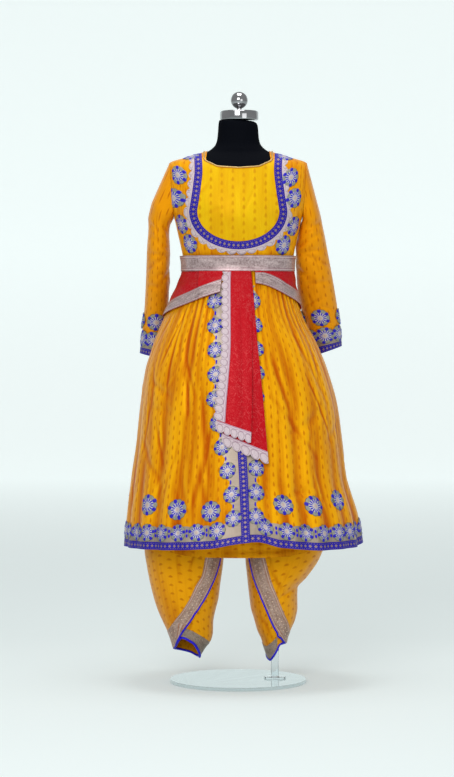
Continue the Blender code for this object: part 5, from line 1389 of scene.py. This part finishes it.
def body_point(angle, rise):
    """The trouser body by angle and share of its height, drawn in to the band on top."""
    bottom = CROTCH + SIDE_RISE * np.sin(angle) ** 4
    z = bottom + rise * (BAND_BOTTOM - bottom)
    ahead = np.cos(angle) > 0
    deep = np.where(ahead, body_ahead(z), body_behind(z))
    pleat = PLEAT_DEPTH * np.cos(PLEATS * angle + 0.8 * np.sin(2 * angle))
    pleat = pleat * (1 - 0.7 * ease(rise, 0.10, 0.0))
    pleat = pleat - body_creases((angle % (2 * np.pi) - np.pi) * 0.25, rise * 0.7)
    tuck = TUCK_DEPTH * np.exp(-(((z - bottom) - TUCK_HEIGHT) / TUCK_WIDE) ** 2)
    tuck = tuck * (0.6 + 0.4 * np.sin(5 * angle))
    x = (body_half(z) + pleat - tuck) * np.sin(angle)
    y = -(deep + pleat - tuck) * np.cos(angle)
    top = ease(rise, TAPER_FROM, 1.0)
    top_deep = np.where(ahead, WAIST_FRONT, WAIST_BACK) + WAIST_EASE
    x = x + top * ((WAIST_HALF + WAIST_EASE) * np.sin(angle) - x)
    y = y + top * (-top_deep * np.cos(angle) - y)
    return np.stack([x, y, z], axis=-1)


trouser_body = Surface(body_point, (0, 2 * math.pi), (0, 1), ring=True)
u, v = np.meshgrid(np.linspace(0, 2 * math.pi, 361), np.linspace(0, 1, 150))
laid("dhoti_body", trouser_body, u, v, 0.0, metres(u * 0.25, v * 0.7), silk_trousers, CLOTH_WALL)

# %% [markdown]
# Each leg is a tube that tapers to the ankle, and a second layer, the flap, laps over its
# front. The flap's edge is a slanting line of the photo, given in a table by x and height,
# and it is found on the round leg by the angle at which the leg has that x.
# %% Leg tables
LEG_COLUMNS = ("height", "left_x", "right_x", "centre_y", "half_depth")
RIGHT_LEG = (
    LEG_COLUMNS,
    (0.470, -0.2482, -0.036, 0.000, 0.082), (0.400, -0.2500, -0.036, -0.002, 0.090),
    (0.362, -0.2500, -0.037, -0.004, 0.092), (0.317, -0.2440, -0.041, -0.004, 0.090),
    (0.268, -0.2345, -0.048, -0.004, 0.084), (0.228, -0.2245, -0.053, -0.004, 0.077),
    (0.192, -0.2125, -0.062, -0.003, 0.069), (0.165, -0.2005, -0.067, -0.002, 0.062),
    (0.136, -0.1872, -0.068, 0.000, 0.054), (0.115, -0.1795, -0.0725, 0.000, 0.048),
    (0.095, -0.1735, -0.088, 0.000, 0.042), (0.063, -0.1640, -0.108, 0.000, 0.038),
)
LEFT_LEG = (
    LEG_COLUMNS,
    (0.470, 0.0190, 0.2482, 0.000, 0.082), (0.400, 0.0190, 0.2440, -0.002, 0.092),
    (0.362, 0.0190, 0.2280, -0.004, 0.092), (0.329, 0.0200, 0.2130, -0.004, 0.090),
    (0.288, 0.0243, 0.1840, -0.004, 0.085), (0.256, 0.0275, 0.1580, -0.003, 0.079),
    (0.235, 0.0300, 0.1572, -0.002, 0.076), (0.203, 0.0340, 0.1577, 0.000, 0.070),
    (0.172, 0.0430, 0.1520, 0.001, 0.062), (0.140, 0.0520, 0.1385, 0.002, 0.054),
    (0.119, 0.0618, 0.1310, 0.003, 0.047), (0.100, 0.0680, 0.1280, 0.004, 0.042),
    (0.059, 0.0820, 0.1280, 0.004, 0.036),
)
RIGHT_ANKLE = (
    ("angle", "height"), (-180, 0.076), (-120, 0.086), (-90, 0.090), (-60, 0.098), (-24, 0.124),
    (0, 0.113), (30, 0.092), (60, 0.075), (90, 0.066), (130, 0.067), (180, 0.076),
)
LEFT_ANKLE = (
    ("angle", "height"), (-180, 0.088), (-120, 0.076), (-80, 0.066), (-50, 0.060), (-15, 0.072),
    (10, 0.088), (30, 0.104), (60, 0.108), (90, 0.104), (140, 0.096), (180, 0.088),
)
RIGHT_BORDER = (
    ("height", "outer_x", "inner_x"), (0.400, -0.0800, -0.0440), (0.336, -0.0910, -0.0515),
    (0.297, -0.0990, -0.0625), (0.268, -0.1150, -0.0745), (0.235, -0.1300, -0.0910),
    (0.203, -0.1490, -0.1110), (0.175, -0.1680, -0.1285), (0.141, -0.1880, -0.1500),
    (0.120, -0.1850, -0.1600), (0.096, -0.1755, -0.1700),
)
LEFT_BORDER = (
    ("height", "outer_x", "inner_x"), (0.400, 0.0600, 0.0240), (0.336, 0.0750, 0.0335),
    (0.293, 0.0860, 0.0430), (0.256, 0.0980, 0.0560), (0.223, 0.1100, 0.0690),
    (0.189, 0.1235, 0.0830), (0.158, 0.1345, 0.0955), (0.131, 0.1375, 0.1100),
    (0.107, 0.1305, 0.1245),
)
LEG_TOP = 0.470
PIPING = {"right": 0.0034, "left": 0.0028}
RIGHT_FOLDS = scattered(31, 18, -0.24, -0.05, 0.12, 0.36, 0.5, 0.07, 0.007, 0.0022)
LEFT_FOLDS = scattered(33, 14, 0.03, 0.17, 0.12, 0.36, 0.5, 0.07, 0.007, 0.0018) + [
    (0.235, 0.372, 0.165, 0.272, 0.008, 0.0060), (0.165, 0.268, 0.105, 0.232, 0.007, 0.0060),
    (0.215, 0.355, 0.120, 0.262, 0.010, -0.0030),
]


# %% Leg surfaces
def leg_surface(table, ankle, folds):
    """A leg's tube by angle round it and share of its height."""
    left, right, centre, deep = (curve(table, name) for name in LEG_COLUMNS[1:])
    foot, drawn_in = curve(ankle, "height"), creases(folds)

    def point(angle, rise):
        low = foot(wrapped(angle))
        z = low + rise * (LEG_TOP - low)
        half = (right(z) - left(z)) / 2
        x = (left(z) + right(z)) / 2 + half * np.sin(angle)
        drawn = drawn_in(x, z) * ease(rise, 0.03, 0.10)
        y = centre(z) - (deep(z) - drawn) * np.cos(angle)
        return np.stack([x, y, z], axis=-1)

    surface = Surface(point, (-math.pi, math.pi), (0, 1), ring=True)
    surface.foot, surface.sides = foot, (left, right)
    return surface


def leg_angle(surface, rise, line):
    """The angle on a leg of the place at the x that line gives for its height."""
    angle = np.zeros(np.shape(rise))
    for _ in range(8):
        low = surface.foot(wrapped(angle))
        z = low + rise * (LEG_TOP - low)
        left, right = surface.sides[0](z), surface.sides[1](z)
        share = (line(z) - (left + right) / 2) / ((right - left) / 2)
        angle = np.arcsin(np.clip(share, -0.985, 0.985))
    return angle


# %% Legs, flaps and their trims
LEG_ROUND, LEG_LONG, FLAP_LIFT, FLAP_PIPING, FLAP_BACK = 0.085, 0.37, 0.0030, 0.0025, 2.25
BORDER_LIFT, SEQUIN_LIFT, FLAP_PIPING_LIFT, ANKLE_LIFT = 0.0043, 0.0044, 0.0036, 0.0012
ANKLE_LOW, ANKLE_HIGH, SEQUIN, SEQUIN_PITCH = 0.014, 0.098, (0.0016, 0.0016), 0.0175
ANKLE_SPAN = {"right": (-0.42, 1.95), "left": (-1.60, 0.25)}
for which, side, table, ankle, edge, folds in (
    ("right", -1, RIGHT_LEG, RIGHT_ANKLE, RIGHT_BORDER, RIGHT_FOLDS),
    ("left", 1, LEFT_LEG, LEFT_ANKLE, LEFT_BORDER, LEFT_FOLDS),
):
    surface = leg_surface(table, ankle, folds)
    u, v = np.meshgrid(np.linspace(-math.pi, math.pi, 181), np.linspace(0, 1, 150))
    laid(f"dhoti_leg_{which}", surface, u, v, 0.0, metres(u * LEG_ROUND, v * LEG_LONG),
         silk_trousers, CLOTH_WALL)
    line = surface.at(np.linspace(-math.pi, math.pi, 161)[:-1], np.full(160, 0.006), 0.0004)
    tube(f"ankle_piping_{which}", line, PIPING[which], blue_cord, closed=True)
    u, v = np.meshgrid(np.linspace(*ANKLE_SPAN[which], 70), np.linspace(ANKLE_LOW, ANKLE_HIGH, 10))
    flat = metres(u * 0.05, (v - ANKLE_LOW) / (ANKLE_HIGH - ANKLE_LOW))
    laid(f"ankle_border_{which}", surface, u, v, ANKLE_LIFT, flat, ankle_weave, TRIM_WALL)
    rises = np.linspace(0.004, 0.945, 170)[:, None]
    inner = leg_angle(surface, rises, curve(edge, "inner_x"))
    outer = leg_angle(surface, rises, curve(edge, "outer_x"))
    inner = np.maximum(inner, outer + 0.25) if side < 0 else np.minimum(inner, outer - 0.25)
    share = np.linspace(0, 1, 90)[None, :]
    u = side * FLAP_BACK + share * (inner - side * FLAP_BACK)
    flat = metres(u * LEG_ROUND, rises * LEG_LONG)
    piece(f"dhoti_flap_{which}", surface.at(u, rises, FLAP_LIFT), surface.out(u, rises + 0 * u),
          flat, silk_trousers, CLOTH_WALL)
    t = np.linspace(0, 1, 12)[None, :]
    u = outer + t * 0.96 * (inner - outer)
    flat = metres(rises * LEG_LONG, t)
    piece(f"flap_border_{which}", surface.at(u, rises, BORDER_LIFT),
          surface.out(u, rises + 0 * u), flat, border_weave, TRIM_WALL)
    spots = []
    for number, rise in enumerate(np.arange(0.03, 0.93, SEQUIN_PITCH)):
        low, high = (float(np.interp(rise, rises[:, 0], ends[:, 0])) for ends in (outer, inner))
        spots.append((low + (high - low) * (0.40 + 0.22 * (number % 2)), rise))
    dashes(f"flap_sequins_{which}", surface, spots, SEQUIN, SEQUIN_LIFT, sequin,
           8)
    line = surface.at(inner[:, 0], rises[:, 0], FLAP_PIPING_LIFT)
    tube(f"flap_piping_{which}", line, FLAP_PIPING, blue_cord)

# %% [markdown]
# The waistband is a plain level band just above the gathered body. It lies under the tunic,
# so it is only shaped to the waist and has no folds.
# %% Waistband
turns = np.linspace(0, 2 * math.pi, 181)[None, :]
level = np.linspace(BAND_BOTTOM + 0.0003, BAND_TOP, 6)[:, None]
share, room = (level - BAND_BOTTOM) / (BAND_TOP - BAND_BOTTOM), WAIST_EASE + 0.0003
half = WAIST_HALF - 0.0045 * share + room
ahead, behind = WAIST_FRONT - 0.003 * share, WAIST_BACK - 0.006 * share
deep = np.where(np.cos(turns) > 0, ahead, behind) + room
grid = np.stack(np.broadcast_arrays(half * np.sin(turns), -deep * np.cos(turns), level), axis=-1)
way = grid * (1, 1, 0) / np.linalg.norm(grid * (1, 1, 0), axis=-1, keepdims=True)
piece("dhoti_waistband", grid, way, metres(turns * 0.12, level), silk_trousers, 0.0012, ring=True)

# %% [markdown]
# ## Form, stand and chrome
# The form is a limbless torso covered in black jersey, so its CAD solid is copied, merged
# and smoothed with a Subdivision Surface. The chrome cap and finial are turned parts: a
# profile is spun round an upright axis. The rod and plate keep their solids.
# %% Black form
MERGE = 0.00002


def plain_paint(name, noise_scale, dark, light, bump, **sockets):
    """A finish read from Object coordinates, for pieces with no UVs."""
    paint = Paint(name, **sockets)
    place = paint.nodes.new("ShaderNodeTexCoord").outputs["Object"]
    grain = paint.noise(place, noise_scale, 3.0)
    paint.colour(paint.mix(grain, dark, light))
    paint.bump(grain, bump, 0.4)
    return paint


jersey = plain_paint("black_jersey", 420.0, (0.0008, 0.0012, 0.0026), (0.0022, 0.0030, 0.0056),
                     0.0004, slot="form_black", roughness=0.8, specular_ior_level=0.04)
polished = plain_paint("polished_chrome", 30.0, (0.30, 0.30, 0.31), (0.46, 0.46, 0.47), 0.00002,
                       slot="chrome", roughness=0.10, metallic=1.0)
clear = plain_paint("clear_plate_finish", 20.0, (0.80, 0.86, 0.88), (0.88, 0.93, 0.95), 0.00002,
                    roughness=0.03, transmission_weight=1.0, ior=1.30)
torso = linked("form_body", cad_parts["form_torso"].data.copy())
torso.data.materials.clear()
picked(torso)
bpy.ops.object.mode_set(mode="EDIT")
bpy.ops.mesh.select_all(action="SELECT")
bpy.ops.mesh.remove_doubles(threshold=MERGE)
bpy.ops.object.mode_set(mode="OBJECT")
bpy.ops.object.modifier_add(type="SUBSURF")
torso.modifiers[-1].levels = torso.modifiers[-1].render_levels = 2
bpy.ops.object.modifier_apply(modifier=torso.modifiers[-1].name)
bpy.ops.object.shade_smooth()
finish_piece(torso, jersey, ["form_torso"])

# %% [markdown]
# The cap and the ball are turned on a lathe, so half of their outline is enough: it is spun
# round the form's axis. A primitive ball would have no neck where it meets the cap.
# %% Turned chrome
AXIS, BALL_RADIUS, BALL_NECK, BALL_MIDDLE = (0.003, 0.013), 0.0230, 0.0068, 1.5720


def spun(name, profile, stands_for):
    """A turned piece: a profile of radius and height, spun round an upright axis."""
    mesh = bpy.data.meshes.new(name)
    points = [(AXIS[0] + radius, AXIS[1], z) for radius, z in profile]
    mesh.from_pydata(points, [(i, i + 1) for i in range(len(points) - 1)], [])
    item = linked(name, mesh)
    picked(item)
    bpy.ops.object.mode_set(mode="EDIT")
    bpy.ops.mesh.select_all(action="SELECT")
    bpy.ops.mesh.spin(steps=64, angle=2 * math.pi, center=(*AXIS, 0), axis=(0, 0, 1))
    bpy.ops.mesh.select_all(action="SELECT")
    bpy.ops.mesh.remove_doubles(threshold=MERGE)
    bpy.ops.mesh.normals_make_consistent(inside=False)
    bpy.ops.object.mode_set(mode="OBJECT")
    bpy.ops.object.shade_smooth_by_angle(angle=math.radians(40))
    return finish_piece(item, polished, stands_for)


cap = [(0.0, 1.5181), (0.0490, 1.5181), (0.0512, 1.5192), (0.0518, 1.5215), (0.0518, 1.5385),
       (0.0508, 1.5415), (0.0485, 1.5432), (0.0, 1.5434)]
spun("neck_cap", cap, ["form_neck_cap"])
ball = [(0.0, 1.5439), (0.0085, 1.5439), (BALL_NECK, 1.5455), (BALL_NECK, 1.5500)]
for turn in np.linspace(math.pi - math.asin(BALL_NECK / BALL_RADIUS), 0.0, 22):
    out, up = BALL_RADIUS * math.sin(turn), BALL_RADIUS * math.cos(turn)
    ball.append((max(out, 0.0), BALL_MIDDLE + up))
spun("neck_finial", ball, ["form_finial"])
for name in ("stand_rod", "stand_base"):
    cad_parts[name].data.materials.clear()
    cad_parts[name].data.materials.append(clear.material)

# %% [markdown]
# ## Cut sizes
# Every sheet is stated with the size of the cloth that it is cut from. A gathered skirt
# takes more cloth than its surface shows, so its share of the flat size is under one.
# %% Sheets
CUTS = (
    ("name", "width", "length", "held", "area"),
    ("bodice_front", 0.45, 0.33, "draped", 0.131),
    ("bodice_back", 0.45, 0.33, "draped", 0.131),
    ("yoke_panel", 0.22, 0.23, "laid", 0.041),
    ("sleeve_right", 0.34, 0.46, "hung", 0.128),
    ("sleeve_left", 0.34, 0.46, "hung", 0.132),
    ("skirt_front_right", 0.54, 0.77, "gathered", 0.36),
    ("skirt_front_left", 0.54, 0.77, "gathered", 0.36),
    ("skirt_back", 1.05, 0.77, "gathered", 0.70),
    ("belt_band", 0.87, 0.042, "stretched", 0.0365),
    ("sash_wrap_right", 0.22, 0.12, "stretched", 0.0205),
    ("sash_wrap_left", 0.19, 0.09, "stretched", 0.0122),
    ("sash_wrap_back", 0.52, 0.13, "stretched", 0.0650),
    ("sash_tail_front", 0.10, 0.45, "hung", 0.0400),
    ("sash_tail_back", 0.12, 0.52, "hung", 0.0520),
    ("dhoti_waistband", 0.77, 0.035, "stretched", 0.0269),
    ("dhoti_body", 1.40, 0.70, "gathered", 0.86),
    ("dhoti_leg_right", 0.55, 0.41, "draped", 0.205),
    ("dhoti_leg_left", 0.55, 0.41, "draped", 0.200),
    ("dhoti_flap_right", 0.34, 0.34, "draped", 0.095),
    ("dhoti_flap_left", 0.32, 0.34, "draped", 0.092),
)
for name, wide, long, held, area in CUTS[1:]:
    shown = area_of(made[name]) / 2
    print(f"{name}: {shown:.4f} square metres shown, {area:.4f} cut, {shown / area:.2f}")

# %% [markdown]
# ## Studio
# The photograph was taken straight from the front, from far away, in soft even light on a
# pale sweep. A long lens keeps the costume's outline from spreading. The sweep rises far
# behind the costume, so that a camera can also go round it, and it glows a little where the
# lamps no longer reach.
# %% Sweep
SWEEP_HALF, SWEEP_FRONT, SWEEP_BEND, SWEEP_RADIUS, SWEEP_TOP = 12.0, -12.0, 8.6, 1.4, 7.0
profile = [(SWEEP_FRONT, 0.0), (SWEEP_BEND, 0.0)]
for turn in np.linspace(0, math.pi / 2, 16)[1:]:
    back, up = SWEEP_RADIUS * math.sin(turn), SWEEP_RADIUS * (1 - math.cos(turn))
    profile.append((SWEEP_BEND + back, up))
profile.append((SWEEP_BEND + SWEEP_RADIUS, SWEEP_TOP))
mesh = bpy.data.meshes.new("studio_sweep")
points = [(x, y, z) for x in (-SWEEP_HALF, SWEEP_HALF) for y, z in profile]
count = len(profile)
mesh.from_pydata(points, [], [(i, i + 1, count + i + 1, count + i) for i in range(count - 1)])
mesh.shade_smooth()
sweep = linked("studio_sweep", mesh)
pale = Paint("pale_sweep", roughness=0.9, specular_ior_level=0.1, emission_strength=1.0)
place = pale.nodes.new("ShaderNodeTexCoord").outputs["Object"]
axes = pale.nodes.new("ShaderNodeSeparateXYZ")
pale.put(axes.inputs[0], place)
far = pale.calc("MULTIPLY_ADD", axes.outputs[1], 0.125, -0.125, clamp=True)
pale.colour(pale.mix(far, (0.545, 0.600, 0.595), (0.670, 0.725, 0.720)))
glow = pale.mix(far, (0.274, 0.298, 0.295), (0.462, 0.492, 0.486))
pale.put(pale.shader.inputs["Emission Color"], glow)
pale.bump(pale.noise(place, 40.0), 0.0001, 0.2)
mesh.materials.append(pale.material)
print("sweep faces:", len(mesh.polygons))

# %% Lights and world
def aimed(place, aim):
    """The turn that points a lamp or camera from a place at an aim."""
    return (Vector(aim) - Vector(place)).to_track_quat("-Z", "Y").to_euler()


def area_light(name, place, aim, size, power):
    """A soft square lamp; its power is in watts."""
    lamp = bpy.data.lights.new(name, "AREA")
    lamp.size, lamp.energy = size, power
    item = linked(name, lamp)
    item.location, item.rotation_euler = place, aimed(place, aim)


area_light("key", (-1.0, -4.6, 2.9), (0, 0, 0.9), 2.2, 125)
area_light("fill", (2.6, -4.4, 1.4), (0, 0, 0.8), 2.4, 30)
area_light("top", (0.0, -0.1, 3.4), (0, 0, 0.8), 1.2, 34)
world = bpy.data.worlds.new("studio_world")
bpy.context.scene.world = world
world.use_nodes = True
sky = world.node_tree.nodes["Background"].inputs
sky[0].default_value, sky[1].default_value = (0.97, 0.99, 1.0, 1), 0.42
bpy.context.scene.view_settings.view_transform = "Standard"

# %% Camera
CAMERA_PLACE, CAMERA_AIM = (-0.030, -7.0, 1.0), (-0.030, 0, 0.795)
HALF_VIEW, FAR = 1.049, 7.003
lens = bpy.data.cameras.new("camera")
lens.sensor_fit, lens.angle = "VERTICAL", 2 * math.atan(HALF_VIEW / FAR)
camera = linked("camera", lens)
camera.location, camera.rotation_euler = CAMERA_PLACE, aimed(CAMERA_PLACE, CAMERA_AIM)
bpy.context.scene.camera = camera
print("view angle:", round(math.degrees(lens.angle), 2), "degrees upright")
